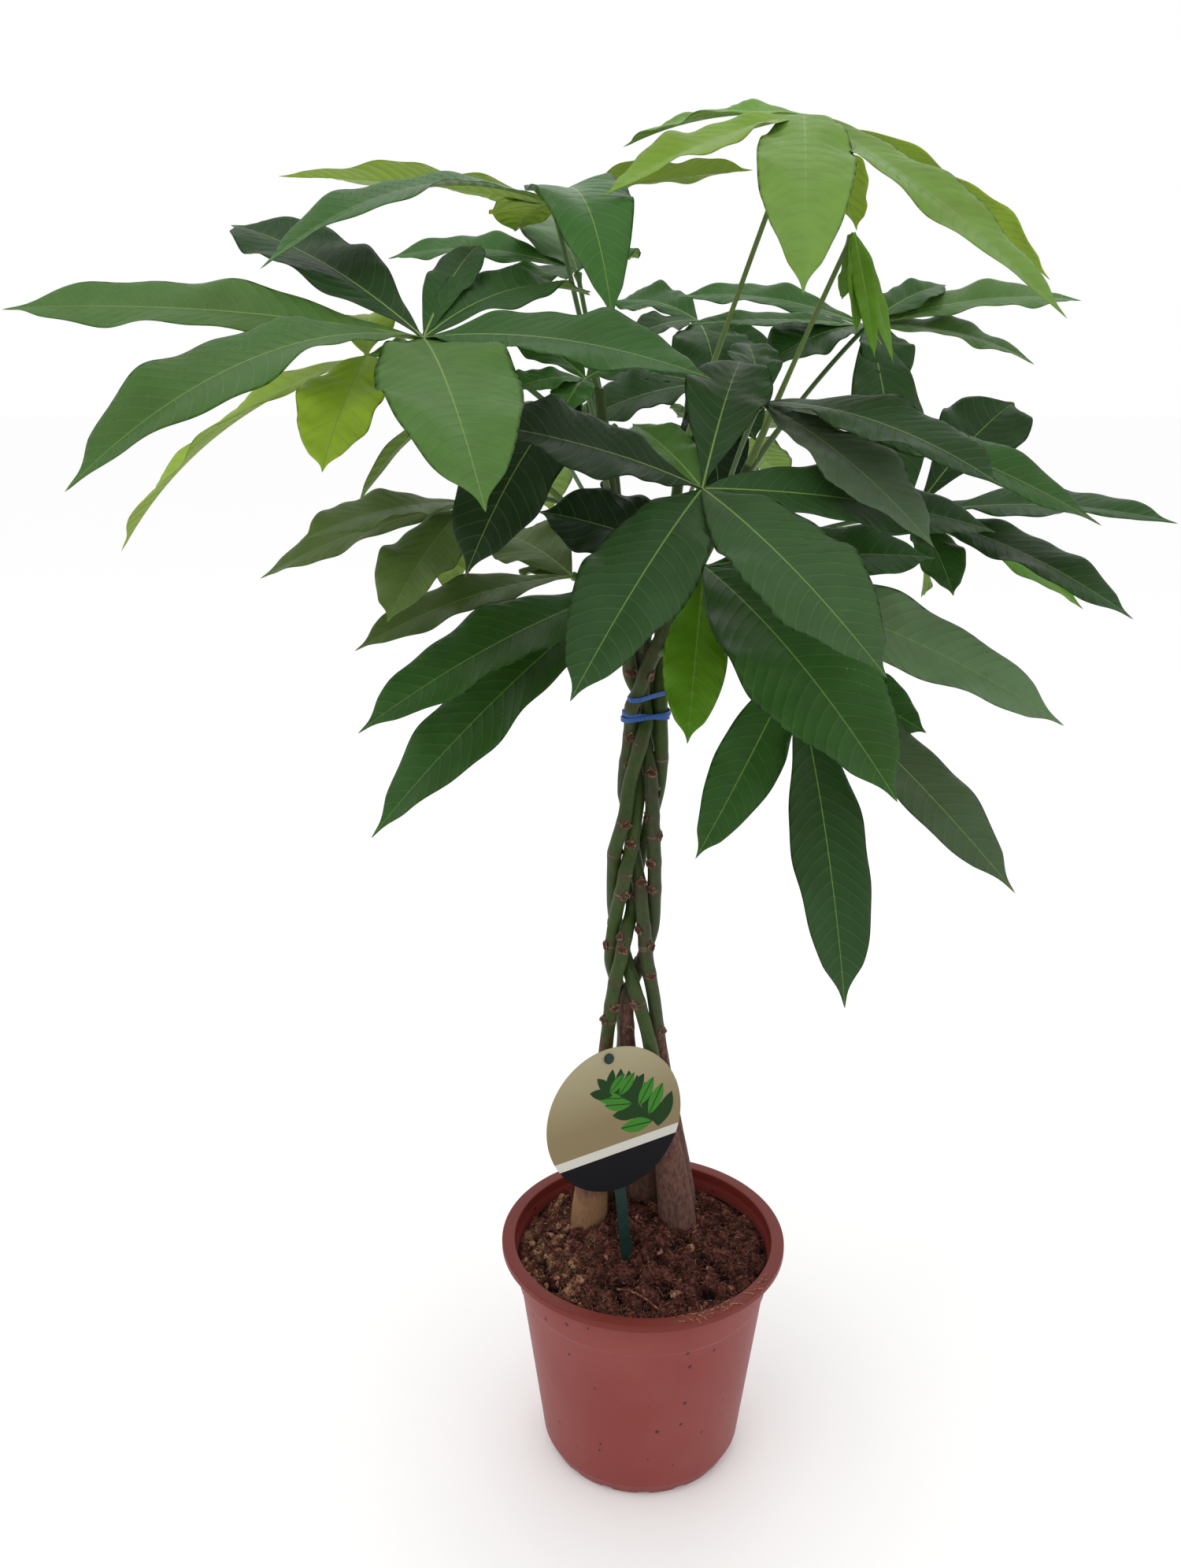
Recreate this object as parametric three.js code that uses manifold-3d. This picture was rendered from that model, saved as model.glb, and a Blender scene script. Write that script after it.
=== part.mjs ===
// A potted money tree: five stems plaited together, tied with a rubber band, each with palmate
// leaves of five to seven leaflets, in a plastic nursery pot of soil with a round card on a stake.
// Millimetres, +Z up. The origin is the middle of the pot's base, and the front looks along +Y.
import * as THREE from "three";
import { mergeVertices } from "three/addons/utils/BufferGeometryUtils.js";
import Module from "manifold-3d";

const wasm = await Module();
wasm.setup();

// ---- driving dimensions ----
const gap = 0.3; // clearance between pieces that touch
const pot = {
  height: 176,
  rimRadius: 105,
  rimInside: 95.5,
  lip: 5.5,
  edge: 1, // bevel of the rim's outer top edge
  collarRadius: 96.8,
  stepHeight: 142, // where the pots above would sit when stacked
  stepRadius: 91.6,
  step: 1.2,
  footHeight: 11,
  footRadius: 75,
  baseRadius: 69.5,
  wall: 1.7,
  floor: 2.3,
  corner: 4, // the wall is this thick where it meets the floor
  lobes: 16, // the foot's lower edge is cut into lobes by low arches
  archRadius: 6.5,
  archRise: 3.6,
  archMiddle: 83, // middle of each arch's cut, out from the axis
  archLong: 30,
  drains: 6,
  drainRadius: 5,
  drainCircle: 46,
  sides: 40,
};
const soil = { level: 162, mound: 19, moundSpread: 46, moundAt: [-2, 22], lump: 1.3, edgeDrop: 2, rings: 7 };
const plaitDepth = 22; // depth of the plait's middle behind the pot's middle
const stem = { plaited: 4.85, tip: 3.6, rooted: 96, level: 170, bare: 150, top: 600, sides: 8 };
// Each stem's foot in the soil, x and y, the radius there, the height up to which its base swells,
// the way it takes through the plait from the top down, as u, v and depth from the plait's middle,
// and where its top ends, x, y, z.
const stems = [
  {
    foot: [-40, 27], thick: 15, swell: 338, top: [22, 66, 742],
    way: [
      [838, 835, 10], [839, 880, 2], [839, 915, 0], [840, 950, 2], [837, 995, 8], [826, 1040, 8],
      [815, 1080, 14.5], [809, 1105, 12.5], [804, 1130, 8.5], [803.5, 1150, 5], [802, 1160, 3],
      [798, 1175, -3], [792, 1200, -9.5], [788, 1220, -10.5], [784, 1235, -10.5], [778, 1265, -8],
      [772, 1310, -6],
    ],
  },
  {
    foot: [31, 52], thick: 13, swell: 330, top: [66, 26, 742],
    way: [
      [828, 835, -9], [818, 860, -10.5], [811, 880, -9.5], [803, 897, -9], [801.5, 915, -4.5],
      [801, 930, -3.5], [798.5, 950, -2], [793, 995, 4.5], [799, 1040, 9], [805, 1080, 5.5],
      [809, 1105, 2.5], [813, 1130, -2], [815, 1150, -4], [817.5, 1175, -6], [822, 1220, -6],
      [830, 1265, -3], [836, 1310, 2],
    ],
  },
  {
    foot: [1, 51], thick: 14.5, swell: 378, top: [12, -16, 708],
    way: [
      [815, 835, 4], [817, 860, 8], [816, 880, 11.5], [816, 897, 10], [815, 915, 7], [821, 950, 2],
      [827, 995, -4], [829, 1040, -4], [831, 1085, -2], [831, 1130, 2], [829, 1175, 5],
      [822, 1200, 6.5], [815, 1220, 8], [807, 1238, 7], [797, 1265, 1.5], [796, 1310, 2],
    ],
  },
  {
    foot: [-28, 60], thick: 13, swell: 320, top: [-26, 58, 752],
    way: [
      [806, 835, 20], [820, 860, 20], [829, 880, 20], [830, 897, 17.5], [829, 915, 14],
      [822, 950, 13], [813, 995, 4], [810, 1017, 0.5], [807, 1040, -2.5], [804, 1062, -4],
      [801, 1080, -5], [796, 1100, -8], [790, 1130, -7.5], [784.5, 1150, -3.5], [780, 1175, 0.5],
      [777, 1200, -1], [776, 1220, 1], [781, 1240, 5], [787, 1265, 11.5], [792, 1310, 17],
    ],
  },
  {
    foot: [27, 21], thick: 15.5, swell: 350, top: [-34, 2, 786],
    way: [
      [799, 835, -2], [802, 860, 0], [812, 880, 1], [819.5, 897, 0], [821.5, 915, -4.5],
      [817.5, 930, -9], [812, 950, -10], [800, 995, -9], [793, 1040, -10], [786, 1062, -9],
      [781, 1080, -5], [779.5, 1100, -1], [779, 1130, 3], [779.5, 1150, 7.5], [783, 1175, 12],
      [790, 1200, 9], [796, 1220, 1.5], [800, 1235, -4], [809, 1265, -9], [822, 1310, -7],
    ],
  },
];
const band = { heights: [576, 589], tall: 4, thick: 1.4, standOff: 1.3, sides: 24 };
const petiole = { root: 2.6, neck: 1.8, sides: 5, steps: 6 };
const hub = 4.6; // radius of the knot where the leaflets meet
const blade = {
  stations: [0, 0.08, 0.28, 0.5, 0.7, 0.88, 1],
  widestAt: 0.56,
  fullness: 0.86,
  stalk: 1.5, // half the width of a leaflet's stalk
  rib: 0.8, // half the thickness along the midrib
  fold: 0.16, // rise of each half from the midrib to its edge
  wave: 0.05, // height of the edge's waves, as a share of the width
  waves: 2.3,
  lag: 1.9, // how far one edge's waves run behind the other's, radians
};
const card = { radius: 54.6, thick: 0.9, hole: 3.1, holeDrop: 7, sides: 36, yaw: 27.5, swing: 0.7 };
const stake = { width: 8, thick: 2.4, point: 14, peg: 2.6, button: 3.8, buttonThick: 1.2, buried: 62 };
// The stake's foot at the soil, and the middle of the button at its top.
const stakeFoot = new THREE.Vector3(-11.5, -20, 168);
const stakeTop = new THREE.Vector3(-26.7, -8, 327.3);

// The leaves are laid out as an eye in front of the plant sees them, in a drawing of 1500 by 1991
// with u to the right and v down. The eye looks down by its pitch from its place in front.
const eye = {
  middle: [750, 995.5],
  focal: 1825,
  pitch: THREE.MathUtils.degToRad(18),
  at: new THREE.Vector3(-39, -919, 828),
};

// Each leaf grows from a stem at a height. Its hub is at a point of the drawing, at a depth behind
// the pot's middle. "bow" lifts its petiole's middle, and "face" is the way its upper side looks.
// Each leaflet's row: the tip's u and v, length, -1 towards the eye or 1 away, width, arch of the
// midrib, roll in degrees, sideways bend, and where it is widest as a share of its length.
const leaves = {
  front_left: {
    stem: 4, from: 735, hub: [538, 430], depth: -130, bow: [0, 0, 30], face: [0, -0.35, 1],
    leaflets: [
      [2, 393, 232, 1, 50, 7, -10, 0, 0.58],
      [82, 625, 226, -1, 58, 24],
      [617, 651, 190, -1, 68, 12, 0, 0, 0.47],
      [905, 482, 168, -1, 54, 9, 6, 0, 0.5],
      [293, 286, 165, 1, 58, 9, 0, 0, 0.58],
      [610, 310, 125, 1, 28, 6, 0, 0, 0.55],
      [750, 375, 150, 1, 58, 14, 0, 0, 0.5],
    ],
  },
  front_middle: {
    stem: 2, from: 665, hub: [892, 621], depth: -120, bow: [0, 0, 22], face: [0, -0.6, 0.8],
    leaflets: [
      [941, 458, 118, 1, 50, 12, 0, 0, 0.62],
      [618, 540, 134, -1, 54, 5, 0, 0, 0.6],
      [724, 891, 168, -1, 58, 8, 0, 0, 0.5],
      [1127, 862, 174, -1, 60, 8, 0, 0, 0.52],
      [1265, 676, 180, 1, 50, 8, 0, 0, 0.5],
      [803, 538, 84, 1, 34, 4, 0, 0, 0.5],
    ],
  },
  front_low: {
    stem: 2, from: 640, hub: [894, 720], depth: -70, bow: [0, 0, 14], face: [0, -0.6, 0.8],
    leaflets: [
      [1140, 1019, 200, -1, 76, 14, 0, 0, 0.52],
      [1352, 922, 236, 1, 53, 14, 0, 0, 0.55],
      [1187, 709, 140, 1, 44, 6],
      [873, 945, 112, -1, 37, 5],
      [684, 650, 104, 1, 58, 6],
    ],
  },
  left_low: {
    stem: 3, from: 640, hub: [727, 732], depth: 0, bow: [0, 0, 12], face: [-0.2, -0.5, 1],
    leaflets: [
      [450, 827, 150, -1, 40, 10],
      [667, 722, 62, 1, 30, 4],
      [640, 680, 96, 1, 52, 6],
    ],
  },
  left_low_front: {
    stem: 4, from: 640, hub: [792, 748], depth: -38, bow: [0, 0, 10], face: [-0.2, -0.55, 0.9],
    leaflets: [
      [454, 932, 190, -1, 55, 10, 0, 0, 0.5],
      [471, 1065, 216, -1, 56, 10, 0, 0, 0.5],
      [652, 870, 88, 1, 30, 5],
    ],
  },
  left_middle: {
    stem: 3, from: 690, hub: [596, 640], depth: -30, bow: [0, 0, 26], face: [-0.2, -0.5, 1],
    leaflets: [
      [381, 687, 118, -1, 42, 7],
      [330, 735, 142, 1, 36, 7],
      [492, 790, 110, -1, 50, 6],
      [576, 757, 70, 1, 26, 4, 60],
    ],
  },
  left_heart: {
    stem: 4, from: 700, hub: [744, 482], depth: -60, bow: [0, 0, 4], face: [0, -0.5, 1],
    leaflets: [
      [591, 733, 150, -1, 56, 14],
      [640, 500, 60, -1, 26, 4],
      [452, 648, 182, 1, 18, 26, 40, 0, 0.5],
      [655, 430, 78, 1, 36, 5],
      [829, 463, 62, 1, 36, 5],
      [713, 530, 50, -1, 24, 4],
    ],
  },
  heart_back: {
    stem: 0, from: 700, hub: [893, 488], depth: 118, bow: [0, 0, 8], face: [0, -0.5, 1],
    leaflets: [
      [736, 537, 92, -1, 52, 6],
      [742, 478, 88, 1, 30, 5],
      [960, 560, 70, -1, 40, 5],
      [915, 640, 100, -1, 46, 6],
    ],
  },
  heart_top: {
    stem: 0, from: 725, hub: [886, 408], depth: 195, bow: [0, 0, 8], face: [0, -0.4, 1],
    leaflets: [
      [913, 512, 84, -1, 58, 12],
      [991, 464, 72, -1, 20, 6, 40],
      [768, 392, 84, 1, 54, 10, 0, 0, 0.5],
      [796, 434, 66, -1, 34, 5],
    ],
  },
  right_front: {
    stem: 1, from: 690, hub: [965, 512], depth: -45, bow: [0, 0, 12], face: [0.1, -0.5, 1],
    leaflets: [
      [1186, 695, 152, -1, 48, 8],
      [1276, 620, 172, -1, 50, 12],
      [1400, 668, 205, 1, 44, 12],
      [1050, 592, 62, 1, 34, 4],
      [948, 436, 62, 1, 34, 6],
    ],
  },
  right_wide: {
    stem: 1, from: 655, hub: [1158, 655], depth: 20, bow: [0, 0, 24], face: [0.1, -0.5, 1],
    leaflets: [
      [1288, 511, 118, 1, 58, 10, 0, 0, 0.7],
      [1497, 665, 176, -1, 46, 9, 0, 0, 0.45],
      [1440, 787, 162, -1, 42, 9, 0, 0, 0.52],
      [1211, 757, 66, -1, 34, 5],
      [1376, 774, 130, 1, 30, 8],
      [1170, 759, 66, 1, 32, 5],
    ],
  },
  right_back: {
    stem: 1, from: 725, hub: [1100, 415], depth: 85, bow: [0, 0, 10], face: [0, -0.45, 1],
    leaflets: [
      [860, 378, 134, 1, 38, 9],
      [868, 413, 132, -1, 22, 4],
      [1202, 362, 74, 1, 32, 5],
      [1374, 382, 160, 1, 40, 9],
      [1314, 463, 124, 1, 36, 9],
      [966, 470, 88, -1, 46, 8],
      [1136, 672, 156, -1, 46, 18],
      [1141, 493, 60, -1, 36, 6],
    ],
  },
  young: {
    stem: 1, from: 735, hub: [1084, 296], depth: 10, bow: [0, 0, 4], face: [0.3, -0.9, 0.3],
    leaflets: [
      [1069, 381, 46, 1, 13, 2, 0, 0, 0.5],
      [1087, 426, 66, -1, 9, 2, 0, 0, 0.42],
      [1111, 456, 84, -1, 10, 2, 20, 0, 0.42],
      [1135, 464, 88, 1, 11, 2, -10, 0, 0.42],
    ],
  },
  top_right: {
    stem: 0, from: 738, hub: [1021, 146], depth: -10, bow: [0, 0, 6], face: [0, -0.3, 1],
    leaflets: [
      [1020, 375, 165, -1, 54, 12, 0, 0, 0.42],
      [791, 187, 122, 1, 40, 8, 0, 0, 0.5],
      [768, 248, 140, -1, 46, 6, 2, 0, 0.5],
      [1088, 293, 92, 1, 38, 6, 0, 0, 0.5],
      [1356, 405, 216, -1, 40, 8, 0, 0, 0.45],
      [1334, 356, 198, 1, 46, 9, -20, 0, 0.5],
    ],
  },
  top_left: {
    stem: 4, from: 775, hub: [702, 258], depth: 10, bow: [0, 0, 2], face: [0, -0.25, 1],
    leaflets: [
      [353, 224, 178, 1, 44, 4, 30, 0, 0.36],
      [330, 342, 206, -1, 42, 24],
      [654, 294, 92, 1, 54, 4, 0, 0, 0.5],
      [779, 414, 142, -1, 56, 34, 0, 0, 0.37],
      [957, 216, 128, 1, 46, 4, -30, 0, 0.42],
    ],
  },
  left_back: {
    stem: 3, from: 735, hub: [733, 344], depth: 78, bow: [0, 0, 4], face: [0, -0.45, 1],
    leaflets: [
      [492, 329, 136, 1, 42, 10],
      [690, 271, 88, 1, 60, 8, 0, 0, 0.5],
      [800, 330, 84, 1, 40, 8],
      [640, 380, 78, -1, 36, 6],
    ],
  },
  left_under: {
    stem: 4, from: 680, hub: [466, 452], depth: -84, bow: [0, 0, 20], face: [-0.1, -0.3, 1],
    leaflets: [
      [409, 600, 88, -1, 52, 4, 0, 0, 0.45],
      [154, 700, 212, 1, 56, 18, 0, 0, 0.5],
      [640, 478, 96, 1, 44, 6, 0, 0, 0.5],
      [470, 400, 84, 1, 40, 6],
    ],
  },
  low_right: {
    stem: 1, from: 615, hub: [1008, 848], depth: -20, bow: [0, 0, 24], face: [0.2, -0.7, 0.5],
    leaflets: [
      [883, 1091, 142, -1, 42, 8, 0, 0, 0.5],
      [1073, 1281, 220, -1, 50, 10, 0, 0, 0.6],
      [1290, 1135, 212, -1, 44, 8],
      [1177, 931, 92, 1, 40, 5],
    ],
  },
  back_left: {
    stem: 3, from: 660, hub: [700, 560], depth: 175, bow: [0, 0, 16], face: [-0.3, 0.5, 1],
    leaflets: [
      [610, 600, 96, 1, 44, 8],
      [700, 650, 150, 1, 60, 14],
      [790, 600, 120, 1, 52, 12],
      [640, 520, 110, 1, 48, 10],
      [760, 530, 90, 1, 44, 8],
    ],
  },
  back_right: {
    stem: 0, from: 668, hub: [905, 560], depth: 195, bow: [0, 0, 16], face: [0.2, 0.6, 1],
    leaflets: [
      [1000, 610, 104, 1, 46, 8],
      [920, 650, 156, 1, 60, 14],
      [830, 600, 120, 1, 52, 12],
      [1010, 545, 110, 1, 48, 10],
      [860, 530, 90, 1, 42, 8],
    ],
  },
};
const colours = {
  pot: 0x9c4a3c,
  soil: 0x4a3026,
  bark: 0x5d6b45,
  band: 0x2b62b8,
  leaf: 0x3c6a34,
  youngLeaf: 0x7fa63c,
  card: 0xc9bf9e,
  stake: 0x12513c,
};

// ---- small helpers ----
const clamp01 = (t) => Math.min(1, Math.max(0, t));
const smooth = (t) => clamp01(t) ** 2 * (3 - 2 * clamp01(t));
const mix = THREE.MathUtils.lerp;

// A point of the drawing as a direction from the eye.
function sight([u, v]) {
  const ahead = new THREE.Vector3(0, Math.cos(eye.pitch), -Math.sin(eye.pitch));
  const down = new THREE.Vector3(0, -Math.sin(eye.pitch), -Math.cos(eye.pitch));
  return ahead
    .addScaledVector(down, (v - eye.middle[1]) / eye.focal)
    .add(new THREE.Vector3((u - eye.middle[0]) / eye.focal, 0, 0));
}

// The point of the drawing at a depth.
function seenAtDepth(point, depth) {
  const way = sight(point);
  return eye.at.clone().addScaledVector(way, (depth - eye.at.y) / way.y);
}

// The point of the drawing that lies a length from a start, on its near (-1) or far (1) side.
function seenAtLength(point, start, length, side) {
  const way = sight(point).normalize();
  const along = start.clone().sub(eye.at).dot(way);
  const foot = eye.at.clone().addScaledVector(way, along);
  const half = Math.sqrt(Math.max(0, length ** 2 - foot.distanceToSquared(start)));
  return foot.addScaledVector(way, side * half);
}

function solidOf(geometry) {
  const bare = new THREE.BufferGeometry().setAttribute("position", geometry.getAttribute("position"));
  if (geometry.index) bare.setIndex(geometry.index);
  const merged = mergeVertices(bare, 1e-4);
  return new wasm.Manifold(
    new wasm.Mesh({
      numProp: 3,
      vertProperties: merged.attributes.position.array,
      triVerts: new Uint32Array(merged.index.array),
    }),
  );
}

function geometryOf(solid) {
  const mesh = solid.getMesh();
  return new THREE.BufferGeometry()
    .setAttribute("position", new THREE.BufferAttribute(mesh.vertProperties, 3))
    .setIndex(new THREE.BufferAttribute(mesh.triVerts, 1));
}

function geometryFrom(points, faces) {
  const flat = points.flatMap((p) => [p.x, p.y, p.z]);
  return new THREE.BufferGeometry()
    .setAttribute("position", new THREE.Float32BufferAttribute(flat, 3))
    .setIndex(faces);
}

// A closed skin over rings of equally many points, each ring turning the same way.
function skin(rings) {
  const n = rings[0].length;
  const points = rings.flat();
  const middle = (ring) => ring.reduce((a, p) => a.add(p), new THREE.Vector3()).divideScalar(n);
  const first = points.push(middle(rings[0])) - 1;
  const last = points.push(middle(rings.at(-1))) - 1;
  const faces = [];
  const top = (rings.length - 1) * n;
  for (let i = 0; i < n; i++) {
    const j = (i + 1) % n;
    faces.push(first, j, i, last, top + i, top + j);
    for (let r = 0; r < rings.length - 1; r++) {
      const a = r * n;
      faces.push(a + i, a + j, a + n + j, a + i, a + n + j, a + n + i);
    }
  }
  return geometryFrom(points, faces);
}

const circle = (x, y, z, radius, sides) =>
  Array.from({ length: sides }, (_, i) => {
    const turn = (i / sides) * 2 * Math.PI;
    return new THREE.Vector3(x + radius * Math.cos(turn), y + radius * Math.sin(turn), z);
  });

// ---- pot ----
function wallRadius(z) {
  if (z < pot.footHeight) return mix(pot.baseRadius, pot.footRadius, z / pot.footHeight);
  if (z < pot.stepHeight) {
    const share = (z - pot.footHeight) / (pot.stepHeight - pot.footHeight);
    return mix(pot.footRadius, pot.stepRadius, share);
  }
  const share = (z - pot.stepHeight) / (pot.height - pot.stepHeight);
  return mix(pot.stepRadius + pot.step, pot.collarRadius, share);
}

function potSolid() {
  const h = pot.height;
  const lipEnd = h - pot.lip;
  const outer = [0, pot.footHeight, pot.stepHeight - pot.floor, pot.stepHeight, lipEnd - pot.floor];
  const profile = [
    [0, 0],
    ...outer.map((z) => [wallRadius(z), z]),
    [wallRadius(h), h - pot.wall],
    [pot.rimRadius - pot.wall, h - pot.wall],
    [pot.rimRadius - pot.wall, lipEnd],
    [pot.rimRadius, lipEnd],
    [pot.rimRadius, h - pot.edge],
    [pot.rimRadius - pot.edge, h],
    [pot.rimInside, h],
    ...outer.slice(2).reverse().map((z) => [wallRadius(z) - pot.wall, z]),
    [wallRadius(pot.footHeight) - pot.wall, pot.footHeight],
    [pot.baseRadius - pot.corner, pot.floor],
    [0, pot.floor],
  ].map(([r, z]) => new THREE.Vector2(r, z));
  let body = solidOf(new THREE.LatheGeometry(profile, pot.sides).rotateX(Math.PI / 2));
  const arch = new THREE.CylinderGeometry(pot.archRadius, pot.archRadius, pot.archLong, 8);
  for (let i = 0; i < pot.lobes; i++) {
    const turn = (i / pot.lobes) * 2 * Math.PI;
    const cut = arch.clone().rotateZ(Math.PI / 2);
    cut.translate(pot.archMiddle, 0, pot.archRise - pot.archRadius).rotateZ(turn);
    body = body.subtract(solidOf(cut));
  }
  const drain = new THREE.CylinderGeometry(pot.drainRadius, pot.drainRadius, 4 * pot.floor, 12);
  for (let i = 0; i < pot.drains; i++) {
    const turn = (i / pot.drains) * 2 * Math.PI;
    const cut = drain.clone().rotateX(Math.PI / 2).translate(pot.drainCircle, 0, 0).rotateZ(turn);
    body = body.subtract(solidOf(cut));
  }
  return body;
}

// ---- stems ----
// The middles of each stem's rings, from its buried end up to its top.
const stemRings = stems.map(({ foot, way, top }) => {
  const plaited = way.map(([u, v, depth]) => seenAtDepth([u, v], plaitDepth + depth)).reverse();
  const marks = [
    new THREE.Vector3(...foot, stem.rooted),
    new THREE.Vector3(...foot, stem.level),
    ...plaited,
    new THREE.Vector3(...top),
  ];
  const line = new THREE.CatmullRomCurve3(marks, false, "centripetal");
  const between = (from, shares) => shares.map((share) => line.getPoint((from + share) / (marks.length - 1)));
  return [
    ...marks.slice(0, 2),
    ...between(1, [0.2, 0.4, 0.6, 0.8]),
    ...plaited,
    ...between(marks.length - 2, [0.25, 0.5, 0.75]),
    marks.at(-1),
  ];
});

// The middle of a stem at a height.
function stemMiddle(k, z) {
  const rings = stemRings[k];
  const above = Math.max(1, rings.findIndex((ring) => ring.z >= z));
  const [low, high] = [rings[above - 1], rings[above]];
  return low.clone().lerp(high, (z - low.z) / (high.z - low.z));
}

function stemRadius(k, z) {
  const { thick, swell, top } = stems[k];
  const low = mix(thick, stem.plaited, smooth((z - stem.bare) / (swell - stem.bare)) ** 0.75);
  return mix(low, stem.tip, smooth((z - stem.top) / (top[2] - stem.top)));
}

function stemSolid(k, extra = 0) {
  const last = stemRings[k].length - 1;
  const rings = stemRings[k].map(({ x, y, z }, i) => {
    const lift = i === 0 ? -extra : i === last ? extra : 0;
    return circle(x, y, z + lift, stemRadius(k, z) + extra, stem.sides);
  });
  return solidOf(skin(rings));
}

// ---- soil ----
function soilTop(x, y) {
  const coarse = Math.sin(x * 0.21 + 1.3) * Math.sin(y * 0.19 + 0.4);
  const fine = Math.sin(x * 0.43 + y * 0.31) * Math.cos(y * 0.47 - x * 0.13);
  const away = Math.hypot(x - soil.moundAt[0], y - soil.moundAt[1]) / soil.moundSpread;
  return soil.level + soil.lump * (coarse + fine) + soil.mound * Math.exp(-(away ** 2));
}

function soilSolid() {
  const edge = soil.level - soil.edgeDrop;
  const inside = (z) => wallRadius(z) - pot.wall - gap;
  const rings = [
    circle(0, 0, pot.floor + gap, pot.baseRadius - pot.corner - gap, pot.sides),
    ...[pot.footHeight, pot.stepHeight - pot.floor, pot.stepHeight, edge].map((z) =>
      circle(0, 0, z, inside(z), pot.sides),
    ),
  ];
  for (let i = 1; i < soil.rings; i++) {
    const ring = circle(0, 0, 0, (inside(edge) * (soil.rings - i)) / soil.rings, pot.sides);
    ring.forEach((p) => (p.z = soilTop(p.x, p.y)));
    rings.push(ring);
  }
  return solidOf(skin(rings));
}

// ---- rubber band ----
// The band runs round the stems as a taut loop: at each angle it stands off by the farthest stem.
function bandLoop(low, high, offset) {
  const middles = [low - band.tall, (low + high) / 2, high + band.tall].flatMap((z) =>
    stems.map((_, k) => new THREE.Vector2().copy(stemMiddle(k, z))),
  );
  const centre = middles.reduce((a, m) => a.add(m), new THREE.Vector2()).divideScalar(middles.length);
  const corners = [];
  for (let i = 0; i < 180; i++) {
    const way = new THREE.Vector2(Math.cos((i * Math.PI) / 90), Math.sin((i * Math.PI) / 90));
    const far = middles.reduce((a, m) => (m.dot(way) > a.dot(way) ? m : a));
    corners.push(far.clone().addScaledVector(way, stem.plaited + offset));
  }
  return Array.from({ length: band.sides }, (_, i) => {
    const angle = (i / band.sides) * 2 * Math.PI;
    const way = new THREE.Vector2(Math.cos(angle), Math.sin(angle));
    let reach = 0;
    corners.forEach((a, j) => {
      const b = corners[(j + 1) % corners.length];
      const from = a.clone().sub(centre);
      const side = b.clone().sub(a);
      const cross = way.cross(side);
      if (Math.abs(cross) < 1e-9) return;
      const t = from.cross(side) / cross;
      const s = from.cross(way) / cross;
      if (t > reach && s >= -1e-6 && s <= 1 + 1e-6) reach = t;
    });
    return centre.clone().addScaledVector(way, reach);
  });
}

// One turn of the band, from one height on the left side to another on the right side.
function bandTurn(left, right) {
  const [low, high] = [Math.min(left, right), Math.max(left, right)];
  const inner = bandLoop(low, high, band.standOff);
  const outer = bandLoop(low, high, band.standOff + band.thick);
  const points = [];
  for (let i = 0; i < band.sides; i++) {
    const z = mix(left, right, 0.5 + 0.5 * Math.cos((i / band.sides) * 2 * Math.PI));
    const [a, b] = [inner[i], outer[i]];
    const half = band.tall / 2;
    points.push(new THREE.Vector3(b.x, b.y, z - half), new THREE.Vector3(b.x, b.y, z + half));
    points.push(new THREE.Vector3(a.x, a.y, z + half), new THREE.Vector3(a.x, a.y, z - half));
  }
  const faces = [];
  for (let i = 0; i < band.sides; i++) {
    const [a, b] = [i * 4, ((i + 1) % band.sides) * 4];
    for (let c = 0; c < 4; c++) {
      const d = (c + 1) % 4;
      faces.push(a + c, b + c, b + d, a + c, b + d, a + d);
    }
  }
  return solidOf(geometryFrom(points, faces));
}

const bandSolid = () => {
  const [low, high] = band.heights;
  return bandTurn(low, low + 2).add(bandTurn(high, high - 2)).add(bandTurn(low, high));
};

// ---- leaves ----
function bladeWidth(s, widest) {
  return Math.sin(Math.PI * s ** (Math.log(0.5) / Math.log(widest))) ** blade.fullness;
}

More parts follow.
